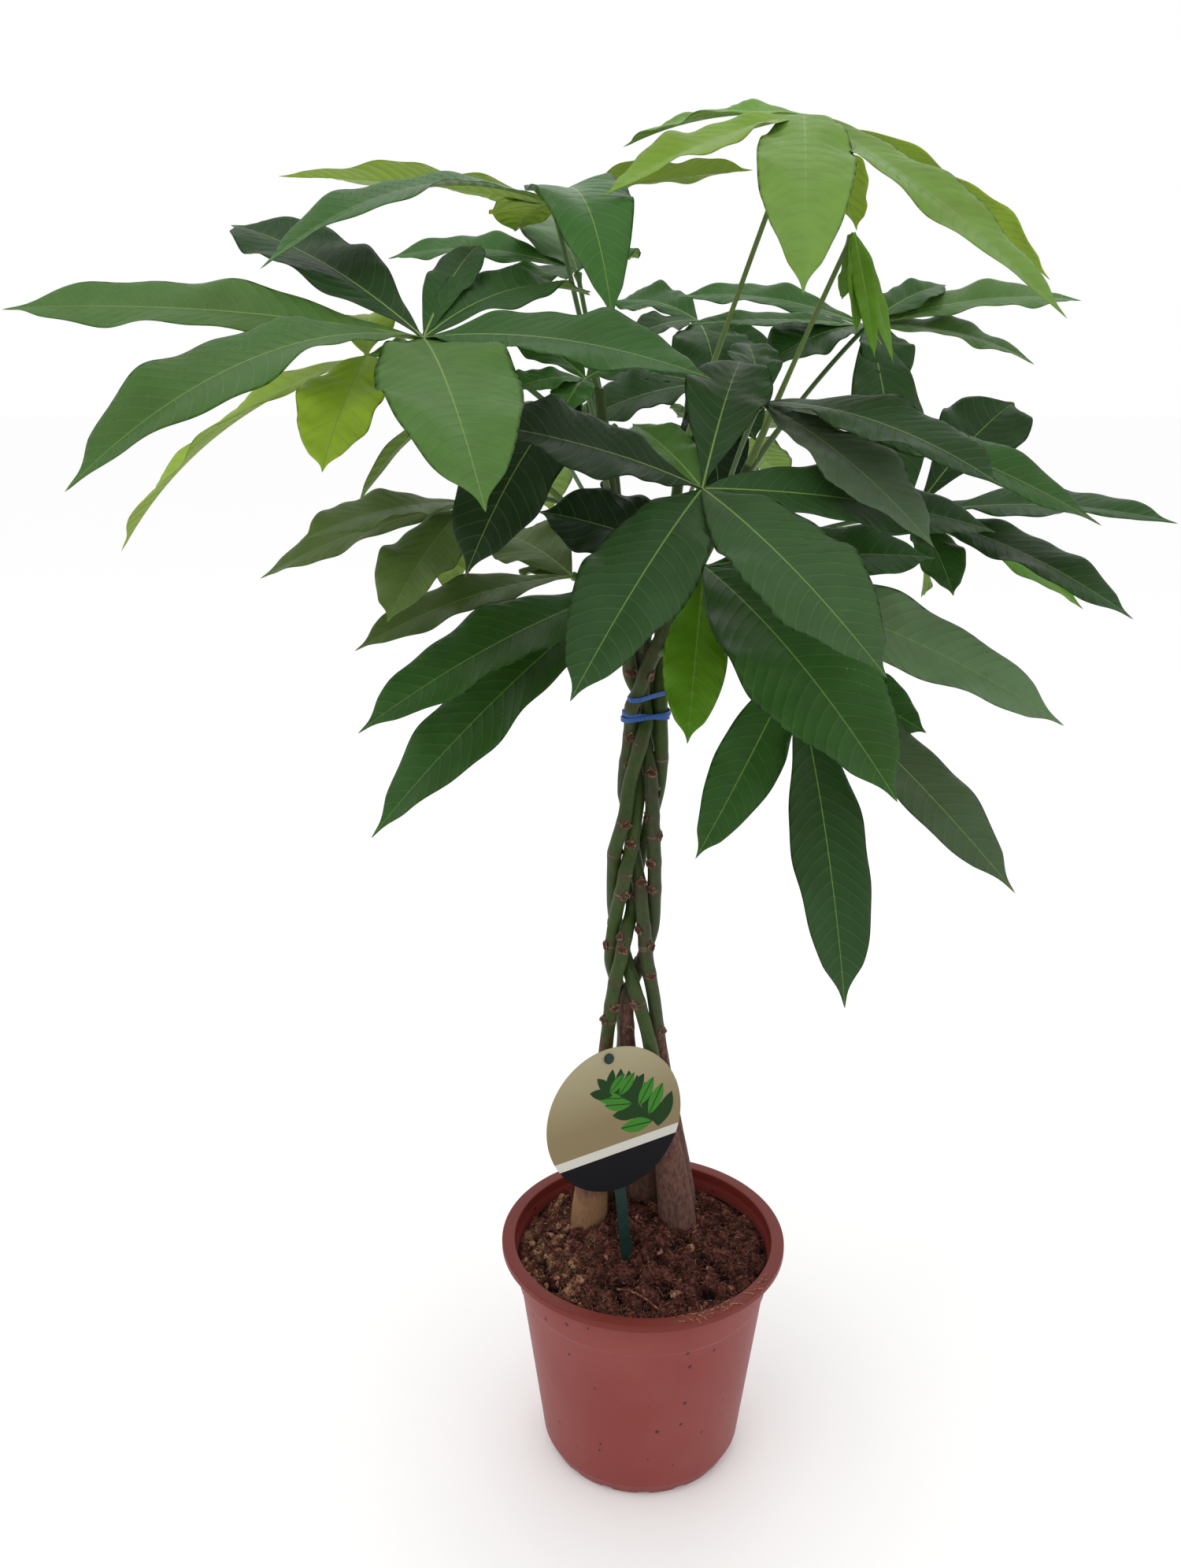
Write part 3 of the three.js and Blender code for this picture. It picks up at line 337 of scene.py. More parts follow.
# The leaves of part.mjs, in its millimetres and drawing: stem, height on it, hub, depth of the hub,
# bow, face, tone, gloss, and each leaflet's tip, length, side, width and arch. A leaflet may add its
# own roll in whole degrees, the share of its length where it is widest, and its own tone.
leaves = {
    "front_left": (4, 735, (538, 430), -130, (0, 0, 30), (0, -0.35, 1), "fresh", 0.22, (
        (2, 393, 232, 1, 50, 7, -10, 0.58, "sage"), (82, 625, 226, -1, 58, 24, "moss"),
        (617, 651, 190, -1, 68, 12, 0.47), (905, 482, 168, -1, 54, 9, 6, 0.5, "mid"),
        (293, 286, 165, 1, 58, 9, 0.58, "shade"), (610, 310, 125, 1, 28, 6, 0.55, "deep"),
        (750, 375, 150, 1, 58, 14, 0.5, "deep"),
    )),
    "front_middle": (2, 665, (892, 621), -120, (0, 0, 22), (0, -0.6, 0.8), "dusk", 0.3, (
        (941, 458, 118, 1, 50, 12, 0.62, "shade"), (618, 540, 134, -1, 54, 5, 0.6, "paintedNightShade"),
        (724, 891, 168, -1, 58, 8, 0.5), (1127, 862, 174, -1, 60, 8, 0.52, "pine"),
        (1265, 676, 180, 1, 50, 8, 0.5), (803, 538, 84, 1, 34, 4, 0.5, "fresh"),
    )),
    "front_low": (2, 640, (894, 720), -70, (0, 0, 14), (0, -0.6, 0.8), "deep", 0.5, (
        (1140, 1019, 200, -1, 76, 14, 0.52, "mid"), (1352, 922, 236, 1, 53, 14, 0.55, "haze"),
        (1187, 709, 140, 1, 44, 6), (873, 945, 112, -1, 37, 5, "paintedGlow"), (684, 650, 104, 1, 58, 6, "paintedBlackShade"),
    )),
    "left_low": (3, 640, (727, 732), 0, (0, 0, 12), (-0.2, -0.5, 1), "olive", 0.2, (
        (450, 827, 150, -1, 40, 10), (667, 722, 62, 1, 30, 4), (640, 680, 96, 1, 52, 6),
    )),
    "left_low_front": (4, 640, (792, 748), -38, (0, 0, 10), (-0.2, -0.55, 0.9), "mid", 0.35, (
        (454, 932, 190, -1, 55, 10, 0.5), (471, 1065, 216, -1, 56, 10, 0.5), (652, 870, 88, 1, 30, 5),
    )),
    "left_middle": (3, 690, (596, 640), -30, (0, 0, 26), (-0.2, -0.5, 1), "khaki", 0.2, (
        (381, 687, 118, -1, 42, 7), (330, 735, 142, 1, 36, 7), (492, 790, 110, -1, 50, 6),
        (576, 757, 70, 1, 26, 4, 60),
    )),
    "left_heart": (4, 700, (744, 482), -60, (0, 0, 4), (0, -0.5, 1), "green", 0.3, (
        (591, 733, 150, -1, 56, 14, "paintedNightShade"), (640, 500, 60, -1, 26, 4),
        (452, 648, 182, 1, 18, 26, 40, 0.5, "deep"), (655, 430, 78, 1, 36, 5), (829, 463, 62, 1, 36, 5),
        (713, 530, 50, -1, 24, 4),
    )),
    "heart_back": (0, 700, (893, 488), 118, (0, 0, 8), (0, -0.5, 1), "dusk", 0.2, (
        (736, 537, 92, -1, 52, 6), (742, 478, 88, 1, 30, 5), (960, 560, 70, -1, 40, 5),
        (915, 640, 100, -1, 46, 6, "paintedBlackShade"),
    )),
    "heart_top": (0, 725, (886, 408), 195, (0, 0, 8), (0, -0.4, 1), "dusk", 0.2, (
        (913, 512, 84, -1, 58, 12), (991, 464, 72, -1, 20, 6, 40), (768, 392, 84, 1, 54, 10, 0.5, "mid"),
        (796, 434, 66, -1, 34, 5),
    )),
    "right_front": (1, 690, (965, 512), -45, (0, 0, 12), (0.1, -0.5, 1), "dusk", 0.3, (
        (1186, 695, 152, -1, 48, 8, "ash"), (1276, 620, 172, -1, 50, 12, "shade"),
        (1400, 668, 205, 1, 44, 12, "mid"), (1050, 592, 62, 1, 34, 4, "paintedBlackShade"), (948, 436, 62, 1, 34, 6),
    )),
    "right_wide": (1, 655, (1158, 655), 20, (0, 0, 24), (0.1, -0.5, 1), "deep", 0.3, (
        (1288, 511, 118, 1, 58, 10, 0.7, "shade"), (1497, 665, 176, -1, 46, 9, 0.45),
        (1440, 787, 162, -1, 42, 9, 0.52, "dusk"), (1211, 757, 66, -1, 34, 5, "mid"),
        (1376, 774, 130, 1, 30, 8, "paintedGlow"), (1170, 759, 66, 1, 32, 5, "paintedGlow"),
    )),
    "right_back": (1, 725, (1100, 415), 85, (0, 0, 10), (0, -0.45, 1), "mid", 0.3, (
        (860, 378, 134, 1, 38, 9, "green"), (868, 413, 132, -1, 22, 4, "green"), (1202, 362, 74, 1, 32, 5),
        (1374, 382, 160, 1, 40, 9, "fresh"), (1314, 463, 124, 1, 36, 9, "fresh"),
        (966, 470, 88, -1, 46, 8, "deep"), (1136, 672, 156, -1, 46, 18, "dusk"),
        (1141, 493, 60, -1, 36, 6, "dusk"),
    )),
    "young": (1, 735, (1084, 296), 10, (0, 0, 4), (0.3, -0.9, 0.3), "light", 0.3, (
        (1069, 381, 46, 1, 16, 2, 0.5, "spring"), (1087, 426, 66, -1, 13, 2, 0.42, "spring"),
        (1111, 456, 84, -1, 13, 2, 20, 0.42, "spring"), (1135, 464, 88, 1, 14, 2, -10, 0.42, "spring"),
    )),
    "top_right": (0, 738, (1021, 146), -10, (0, 0, 6), (0, -0.3, 1), "light", 0.3, (
        (1020, 375, 165, -1, 54, 12, 0.42), (791, 187, 122, 1, 40, 8, 0.5, "spring"),
        (768, 248, 140, -1, 46, 6, 2, 0.5, "bright"), (1088, 293, 92, 1, 38, 6, 0.5, "paintedBacklight"),
        (1356, 405, 216, -1, 40, 8, 0.45), (1334, 356, 198, 1, 46, 9, -20, 0.5, "paintedBacklight"),
    )),
    "top_left": (4, 775, (702, 258), 10, (0, 0, 2), (0, -0.25, 1), "green", 0.5, (
        (353, 224, 178, 1, 44, 4, 30, 0.36, "lit"), (330, 342, 206, -1, 42, 24),
        (654, 294, 92, 1, 54, 4, 0.5, "lit"), (779, 414, 142, -1, 56, 34, 0.37),
        (957, 216, 128, 1, 46, 4, -30, 0.42, "lit"),
    )),
    "left_back": (3, 735, (733, 344), 78, (0, 0, 4), (0, -0.45, 1), "green", 0.3, (
        (492, 329, 136, 1, 42, 10), (690, 271, 88, 1, 60, 8, 0.5, "haze"), (800, 330, 84, 1, 40, 8),
        (640, 380, 78, -1, 36, 6),
    )),
    "left_under": (4, 680, (466, 452), -84, (0, 0, 20), (-0.1, -0.3, 1), "lit", 0.2, (
        (409, 600, 88, -1, 52, 4, 0.45), (154, 700, 212, 1, 56, 18, 0.5),
        (640, 478, 96, 1, 44, 6, 0.5, "paintedGlow"), (470, 400, 84, 1, 40, 6),
    )),
    "low_right": (1, 615, (1008, 848), -20, (0, 0, 24), (0.2, -0.7, 0.5), "mid", 0.3, (
        (883, 1091, 142, -1, 42, 8, 0.5), (1073, 1281, 220, -1, 50, 10, 0.6, "dusk"),
        (1290, 1135, 212, -1, 44, 8, "slate"), (1177, 931, 92, 1, 40, 5),
    )),
    "back_left": (3, 660, (700, 560), 175, (0, 0, 16), (-0.3, 0.5, 1), "mid", 0.3, (
        (610, 600, 96, 1, 44, 8), (700, 650, 150, 1, 60, 14), (790, 600, 120, 1, 52, 12),
        (640, 520, 110, 1, 48, 10), (760, 530, 90, 1, 44, 8),
    )),
    "back_right": (0, 668, (905, 560), 195, (0, 0, 16), (0.2, 0.6, 1), "mid", 0.3, (
        (1000, 610, 104, 1, 46, 8), (920, 650, 156, 1, 60, 14), (830, 600, 120, 1, 52, 12),
        (1010, 545, 110, 1, 48, 10), (860, 530, 90, 1, 42, 8),
    )),
}


def leafTree():
    # Sweeps a section along each midrib, lays it out as a folded, waved and quilted blade, and
    # sweeps a round section along the petiole.
    tree, add, give, result = newTree("leafGrowth", {
        "Section points": 44, "Fold": 0.16, "Wave": 0.116, "Waves": 2.3, "Wave lag": 1.9,
        "Ruffle": 0.048, "Ruffles": 5.3, "Blade thickness": 0.0006, "Rib height": 0.0011,
        "Rib half width": 0.0015, "Vein spacing": 0.009, "Vein lean": 0.52, "Quilt": 0.0011,
        "Petiole sides": 12, "Blade skin": None, "Stalk skin": None,
    })
    kinds = ("stalk", "half", "along", "seed", "long", "turn")
    read = {key: add("InputNamedAttribute", {"Name": key}) for key in kinds}
    for key in ("middle", "out", "normal"):
        read[key] = add("InputNamedAttribute", {"Name": key}, data_type="FLOAT_VECTOR")
    parts = add("SeparateGeometry", {"Geometry": give["Geometry"], "Selection": read["stalk"]})
    midribs = add("MeshToCurve", {"Mesh": parts.outputs["Inverted"]})
    ring = add("CurvePrimitiveCircle", {"Resolution": give["Section points"], "Radius": 0.001})
    turn = add("SplineParameter").outputs["Factor"]
    section = add("StoreNamedAttribute", {"Geometry": ring, "Name": "turn", "Value": turn})

    # Once round the section runs from one edge over the top to the other, and back underneath.
    offset = add("ABSOLUTE", [add("SUBTRACT", [read["turn"], 0.5])])
    across = add("MULTIPLY_ADD", [offset, 4.0, -1.0])
    outward = add("ABSOLUTE", [across])
    reach = add("MULTIPLY", [read["half"], outward])
    sine = add("SINE", [add("MULTIPLY", [read["turn"], 2 * pi])])
    face = add("MapRange", [sine, -0.2, 0.2, -1.0, 1.0])

    # The fold along the midrib, long waves, and ruffles that grow towards the edge.
    rise = add("MULTIPLY", [reach, give["Fold"]])
    fromEdge = add("MULTIPLY_ADD", [across, 0.5, 0.5])
    waveLag = add("MULTIPLY_ADD", [fromEdge, give["Wave lag"], read["seed"]])
    ruffleLag = add("MULTIPLY", [waveLag, 2.7])
    ruffleReach = add("MULTIPLY", [reach, outward])
    for name, lag, lever in (("Wave", waveLag, reach), ("Ruffle", ruffleLag, ruffleReach)):
        cycles = add("MULTIPLY", [read["along"], give[name + "s"]])
        swing = add("SINE", [add("MULTIPLY_ADD", [cycles, 2 * pi, lag])])
        rise = add("MULTIPLY_ADD", [add("MULTIPLY", [lever, give[name]]), swing, rise])

    # Side veins leave the midrib forwards, and the blade is raised between them.
    lean = add("MULTIPLY_ADD", [outward, 0.4, give["Vein lean"]])
    back = add("MULTIPLY", [reach, lean])
    walked = add("MULTIPLY", [read["along"], read["long"]])
    vein = add("DIVIDE", [add("SUBTRACT", [walked, back]), give["Vein spacing"]])
    pillow = add("ABSOLUTE", [add("SINE", [add("MULTIPLY", [vein, pi])])])
    between = add("MULTIPLY", [outward, add("SUBTRACT", [1.0, outward])])
    broad = add("MapRange", [read["half"], 0, 0.02, 0, 4.0])
    quilted = add("MULTIPLY", [pillow, add("MULTIPLY", [between, broad])])
    rise = add("MULTIPLY_ADD", [quilted, give["Quilt"], rise])

    # Half the thickness on each face, and the midrib, which stands out most underneath.
    taper = add("MapRange", [read["half"], 0, 0.0014])
    thin = add("MULTIPLY", [give["Blade thickness"], 0.5])
    rise = add("MULTIPLY_ADD", [face, add("MULTIPLY", [thin, taper]), rise])
    rib = add("MapRange", [reach, 0, give["Rib half width"], 1.0, 0.0], interpolation_type="SMOOTHSTEP")
    fade = add("MapRange", [read["along"], 0, 1, 1.0, 0.25])
    side = add("MULTIPLY_ADD", [face, 0.65, -0.35])
    for share in (fade, side, taper):
        rib = add("MULTIPLY", [rib, share])
    rise = add("MULTIPLY_ADD", [rib, give["Rib height"], rise])

    sideways = add("MULTIPLY", [read["half"], across])
    outStep = add("VectorMath", {0: read["out"], "Scale": sideways}, operation="SCALE")
    upStep = add("VectorMath", {0: read["normal"], "Scale": rise}, operation="SCALE")
    place = add("VectorMath", [add("VectorMath", [read["middle"], outStep]), upStep])
    under = add("MULTIPLY_ADD", [face, -0.5, 0.5])
    blades = add("CurveToMesh", {"Curve": midribs, "Profile Curve": section, "Fill Caps": True})
    for name, value in (("reach", reach), ("vein", vein), ("under", under)):
        blades = add("StoreNamedAttribute", {"Geometry": blades, "Name": name, "Value": value})
    blades = add("SetPosition", {"Geometry": blades, "Position": place})
    blades = add("MergeByDistance", {"Geometry": blades, "Distance": 0.00001})

    line = add("MeshToCurve", {"Mesh": parts.outputs["Selection"]})
    ring = add("CurvePrimitiveCircle", {"Resolution": give["Petiole sides"], "Radius": 1.0})
    sweep = {"Curve": line, "Profile Curve": ring, "Scale": read["half"], "Fill Caps": True}
    stalks = add("CurveToMesh", sweep)
    endTree(add, give, result, ((blades, "Blade skin"), (stalks, "Stalk skin")))
    return tree


def bladeHalf(s, width, widestAt):
    # Half the blade's width at a share of its length: a long ellipse drawn out to its tip.
    lean = log(0.5) / log(widestAt)
    half = width / 2 * sin(pi * s**lean) ** blade["fullness"] if 0 < s < 1 else 0
    drawn = smooth((s - 1 + blade["drip"]) / (blade["drip"] * 0.8))
    return half * (1 - blade["dripDepth"] * drawn)


def leafletLine(start, face, row, index, gloss, tone):
    u, v, length, side, width, arch, *own = row
    own = {type(value): value for value in own}
    width, length = width * mm, length * mm
    tip = seenAtLength(u, v, start, length, side)
    chord = (tip - start).normalized()
    across = chord.cross(face).normalized()
    control = (start + tip) / 2 + across.cross(chord) * 2 * arch * mm
    colour = linear(tones[own.get(str, tone)])
    line = []
    for i in range(blade["stations"] + 1):
        s = i / blade["stations"]
        middle = bowed(start, control, tip, s)
        along = ((1 - s) * (control - start) + s * (tip - control)).normalized()
        turned = Quaternion(along, radians(own.get(int, 0)) * smooth(4 * s))
        out = turned @ along.cross(face).normalized()
        half = bladeHalf(s, width, own.get(float, blade["widestAt"]))
        if s < 0.5:
            half = max(blade["stalk"], half)
        line.append({
            "place": middle, "middle": middle, "out": out, "normal": out.cross(along), "half": half,
            "along": s, "seed": index * 1.7, "long": length, "stalk": 0.0, "gloss": gloss, "tone": colour,
        })
    return line


def petioleLine(root, hub, bow, colour):
    # The petiole swells where it leaves the stem, and ends in the knot that carries the leaflets.
    control = (root + hub) / 2 + Vector(bow) * mm
    reach = (hub - root).length
    line = []
    for i in range(petiole["points"] + 1):
        t = i / petiole["points"]
        middle = bowed(root, control, hub, t)
        radius = mix(petiole["root"], petiole["neck"], smooth(2 * t))
        radius = mix(petiole["base"], radius, smooth(t * reach / (petiole["baseLong"] * mm)))
        toEnd = (1 - t) * reach / mm
        radius = mix(petiole["knot"], radius, smooth(toEnd / petiole["knotLong"])) * mm
        if toEnd < petiole["endLong"]:
            radius *= sqrt(max(0.02, 1 - (1 - toEnd / petiole["endLong"]) ** 2))
        line.append({
            "place": middle, "middle": middle, "out": Vector(), "normal": Vector(), "half": radius,
            "along": t, "seed": 0.0, "long": reach, "stalk": 1.0, "gloss": 0.0, "tone": colour,
        })
    return line


def makeLeaves(stemLines):
    tree = leafTree()
    skins = {"Blade skin": waxyLeaf(), "Stalk skin": petioleSkin()}
    for name, (stem, height, hubMark, depth, bow, face, tone, gloss, rows) in leaves.items():
        hub = seenAtDepth(*hubMark, depth * mm)
        root = middleAt(stemLines[stem], height * mm)
        face = Vector(face).normalized()
        stalkTone = linear(petiole["pale" if tone in ("light", "lit") else "tone"])
        lines = [petioleLine(root, hub, bow, stalkTone)]
        lines += [leafletLine(hub, face, row, i, gloss, tone) for i, row in enumerate(rows)]
        piece = grow(f"foliage_{name}", guideMesh(name, lines), tree, skins)
        settle(piece, "young_leaf" if name == "young" else "leaf", f"leaf_{name}")


barkLook = {
    "green": "#40541b",
    "shade": "#26381a",
    "dull": "#393b2b",  # green skin that has begun to age
    "woody": "#684a3f",
    "fissure": "#523a34",
    "pale": "#8c6a4c",  # old bark that has peeled and dried
    "stain": "#44352a",  # skin that has browned round a scar
    "seam": "#6f6650",  # the line that an old node leaves round the stem
    "grain": 160,
}


def youngBark():
    # Bark of a young stem: smooth green skin above, with a pale line and a brown stain at each old
    # node, and dry red-brown cork below.
    material, add, shader = newMaterial("young_bark", {"IOR": 1.45, "Specular IOR Level": 0.25})
    place = add("TexCoord").outputs["Object"]
    kinds = ("woody", "pale", "age", "near")
    read = {key: add("Attribute", attribute_name=key).outputs["Fac"] for key in kinds}
    long = add("Mapping", {"Vector": place, "Scale": (1, 1, 0.4)})
    streaks = add("TexNoise", {"Vector": long, "Scale": barkLook["grain"] * 3.0, "Detail": 6.0})
    patches = add("TexNoise", {"Vector": place, "Scale": barkLook["grain"] / 2, "Detail": 4.0})
    ageing = add("MULTIPLY_ADD", [patches, 1.4, -0.7])
    aged = add("ADD", [ageing, read["age"]], use_clamp=True)
    # Round a scar the skin is browned, and a pale line runs round the stem.
    browned = add("MULTIPLY", [add("MapRange", [read["near"], 0.0015, 0.008, 1, 0]), patches])
    broken = add("MapRange", [patches, 0.45, 0.65])
    line = add("MULTIPLY", [add("MapRange", [read["near"], 0.0002, 0.0009, 1, 0]), broken])
    # Peeled bark and the start of the cork lie in patches, so the noise breaks their borders.
    uneven = add("MULTIPLY_ADD", [patches, 0.9, -0.45])
    shares = {}
    for key in ("pale", "woody"):
        border = add("ADD", [read[key], uneven])
        shares[key] = add("MapRange", [border, 0.2, 0.8], interpolation_type="SMOOTHSTEP")
    cracked = add("MapRange", [streaks, 0.35, 0.6])
    coats = {}
    layers = (
        ("skin", "shade", ((patches, "green"), (aged, "dull"), (browned, "stain"), (line, "seam"))),
        ("cork", "fissure", ((cracked, "woody"), (shares["pale"], "pale"))),
    )
    for coat, first, over in layers:
        coats[coat] = linear(barkLook[first])
        for share, tone in over:
            laid = {"Factor": share, "A": coats[coat], "B": linear(barkLook[tone])}
            coats[coat] = add("Mix", laid, data_type="RGBA")
    both = add("Mix", {"Factor": shares["woody"], "A": coats["skin"], "B": coats["cork"]}, data_type="RGBA")
    dark = add("MapRange", [streaks, 0.3, 0.7, 0.84, 1.12])
    colour = add("VectorMath", {0: both, "Scale": dark}, operation="SCALE")
    rough = add("MapRange", [shares["woody"], 0, 1, 0.5, 0.88])
    depth = add("MapRange", [shares["woody"], 0, 1, 0.2, 0.7])
    bump = add("Bump", {"Height": streaks, "Strength": depth, "Distance": 0.0008})
    connect(shader, {"Base Color": colour, "Roughness": rough, "Normal": bump})
    return material


stemLook = {
    "step": 2.5 * mm,  # length of the rings along a stem
    "nodeSwell": 0.45 * mm,  # a stem is this much thicker where a leaf has fallen
    "nodeReach": 4 * mm,
    "scarEvery": 33 * mm,
    "scarsFrom": 360 * mm,
    "bareTop": 60 * mm,
    "allRoundFrom": 610 * mm,  # lower down, the rule leaves the side towards the eye to the drawing
    "scarTurn": 144,  # degrees from each scar to the next
    "corkFade": (45, 60),  # how far below its end a coat starts to fade, and over what length
    "peelFade": (25, 50),
}
# For each stem: the height at which cork gives way to green skin, the height up to which its cork
# has peeled, and how aged its green skin is.
stemBark = ((342, 200, 0.0), (350, 0, 0.4), (376, 0, 0.5), (300, 0, -0.1), (318, 0, 0.1))
# Leaf scars that the drawing shows, by stem, as u and v.
scarMarks = (
    ((788, 1188), (790, 1205), (781, 1277), (768, 1293)),
    ((829, 861), (801, 935), (799, 967), (815, 1122), (811, 1180), (826, 1199), (825, 1235), (839, 1305)),
    ((827, 983), (818, 1034), (839, 1060), (827, 1095), (828, 1125), (798, 1304)),
    ((801, 1072), (794, 1136), (768, 1199)),
    ((801, 850), (796, 1046), (806, 1276)),
)


def ringsOf(node):
    # A CAD stem is rings of points, each ring level. Gives each ring's middle and radius, going up.
    heights = {}
    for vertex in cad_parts[node].data.vertices:
        heights.setdefault(round(vertex.co.z, 5), set()).add(tuple(round(c, 6) for c in vertex.co))
    rings = []
    for height in sorted(heights):
        points = np.array(sorted(heights[height]))
        low, high = points.min(0), points.max(0)
        middle = Vector((low + high) / 2)
        rings.append((middle, max((Vector(p) - middle).length for p in points)))
    return rings


def stemLine(node, step):
    # A smooth line through the rings' middles: Catmull-Rom, in steps of about one length.
    rings = ringsOf(node)
    line = []
    for i in range(len(rings) - 1):
        a, b = rings[i], rings[i + 1]
        before, after = rings[max(0, i - 1)][0], rings[min(len(rings) - 1, i + 2)][0]
        gap = (b[0] - a[0]).length
        slopeA = (b[0] - before) * gap / max(gap, (b[0] - before).length)
        slopeB = (after - a[0]) * gap / max(gap, (after - a[0]).length)
        count = max(1, round(gap / step))
        for j in range(count):
            t = j / count
            place = (
                a[0] * (2 * t**3 - 3 * t**2 + 1) + slopeA * (t**3 - 2 * t**2 + t)
                + b[0] * (3 * t**2 - 2 * t**3) + slopeB * (t**3 - t**2)
            )
            line.append((place, mix(a[1], b[1], t)))
    line.append(rings[-1])
    return line


def middleAt(line, height):
    above = next(i for i, (place, _) in enumerate(line) if place.z >= height)
    low, high = line[above - 1][0], line[above][0]
    return low.lerp(high, (height - low.z) / (high.z - low.z))


def scarsOn(line, marks, rng):
    # Scars of fallen leaves: those of the drawing, and more by rule on the side away from the eye.
    scars = []
    for u, v in marks:
        way = sight(u, v).normalized()
        gaps = [(place - eye["at"] - way * (place - eye["at"]).dot(way)).length for place, _ in line]
        i = min(range(len(line)), key=gaps.__getitem__)
        place, radius = line[i]
        foot = eye["at"] + way * (place - eye["at"]).dot(way)
        sideways = (foot - place) * min(1, 0.9 * radius / max((foot - place).length, 1e-9))
        facing = sideways - way * sqrt(max(0, radius**2 - sideways.length_squared))
        scars.append((i, facing.normalized()))
    height = stemLook["scarsFrom"] + rng.random() * stemLook["scarEvery"]
    turn = rng.random() * 360
    while height < line[-1][0].z - stemLook["bareTop"]:
        turn += stemLook["scarTurn"]
        facing = Vector((cos(radians(turn)), sin(radians(turn)), 0))
        if facing.y > 0.1 or height > stemLook["allRoundFrom"]:
            i = next(i for i, (place, _) in enumerate(line) if place.z >= height)
            scars.append((i, facing))
        height += stemLook["scarEvery"] * rng.uniform(0.8, 1.25)
    return scars


def stemTree():
    # Sweeps a round stem along its line, roughens its bark, and sets a shield-shaped scar and a
    # small bud at each mark.
    tree, add, give, result = newTree("stemGrowth", {
        "Sides": 28, "Bark relief": 0.0005, "Grain": 150.0, "Scar width": 0.0035, "Scar height": 0.0027,
        "Scar lift": 0.0006, "Scar raggedness": 0.0045, "Bud size": 0.0008, "Bark": None, "Cork": None,
        "Rim": None,
    })
    read = {key: add("InputNamedAttribute", {"Name": key}) for key in ("isScar", "radius", "woody")}
    for key in ("facing", "upward"):
        read[key] = add("InputNamedAttribute", {"Name": key}, data_type="FLOAT_VECTOR")
    parts = add("SeparateGeometry", {"Geometry": give["Geometry"], "Selection": read["isScar"]})
    line = add("MeshToCurve", {"Mesh": parts.outputs["Inverted"]})
    ring = add("CurvePrimitiveCircle", {"Resolution": give["Sides"], "Radius": 1.0})
    sweep = {"Curve": line, "Profile Curve": ring, "Scale": read["radius"], "Fill Caps": True}
    tube = add("CurveToMesh", sweep)
    place = add("InputPosition")
    long = add("VectorMath", [place, (1, 1, 0.3)], operation="MULTIPLY")
    noise = add("TexNoise", {"Vector": long, "Scale": give["Grain"], "Detail": 4.0})
    centred = add("SUBTRACT", [noise, 0.5])
    deeper = add("MapRange", [read["woody"], 0, 1, 0.5, 1.7])
    amount = add("MULTIPLY", [centred, add("MULTIPLY", [deeper, give["Bark relief"]])])
    push = add("VectorMath", {0: add("InputNormal"), "Scale": amount}, operation="SCALE")
    rough = add("SetPosition", {"Geometry": tube, "Offset": push})
    shapes = [(rough, "Bark")]

    facing = add("AlignRotationToVector", {"Vector": read["facing"]})
    along = {"Rotation": facing, "Vector": read["upward"]}
    upright = add("AlignRotationToVector", along, axis="Y", pivot_axis="Z")
    shield = add("CombineXYZ", [give["Scar width"], give["Scar height"], give["Scar lift"]])
    # A raised pale rim lies round each scar's dark middle.
    rim = add("VectorMath", [shield, (1.2, 1.24, 0.66)], operation="MULTIPLY")
    higher = add("VectorMath", {0: read["upward"], "Scale": 0.0042}, operation="SCALE")
    scars = parts.outputs["Selection"]
    buds = add("SetPosition", {"Geometry": scars, "Offset": higher})
    ball = add("MeshIcoSphere", {"Radius": 1.0, "Subdivisions": 3})
    # A noise moves their points, so no two scars have the same outline.
    ragged = add("TexNoise", {"Vector": place, "Scale": 330.0, "Detail": 2.0})
    shifted = add("VectorMath", [ragged.outputs["Color"], (0.5, 0.5, 0.5)], operation="SUBTRACT")
    nudge = add("VectorMath", {0: shifted, "Scale": give["Scar raggedness"]}, operation="SCALE")
    for points, size, skin in ((scars, shield, "Cork"), (buds, give["Bud size"], "Rim"), (scars, rim, "Rim")):
        placed = {"Points": points, "Instance": ball, "Rotation": upright, "Scale": size}
        real = add("RealizeInstances", [add("InstanceOnPoints", placed)])
        shapes.append((add("SetPosition", {"Geometry": real, "Offset": nudge}), skin))
    endTree(add, give, result, shapes)
    return tree


def fades(height, end, kind):
    # The share of a coat of bark that is left at a height.
    below, long = stemLook[kind]
    return 1 - smooth((height - (end - below) * mm) / (long * mm))


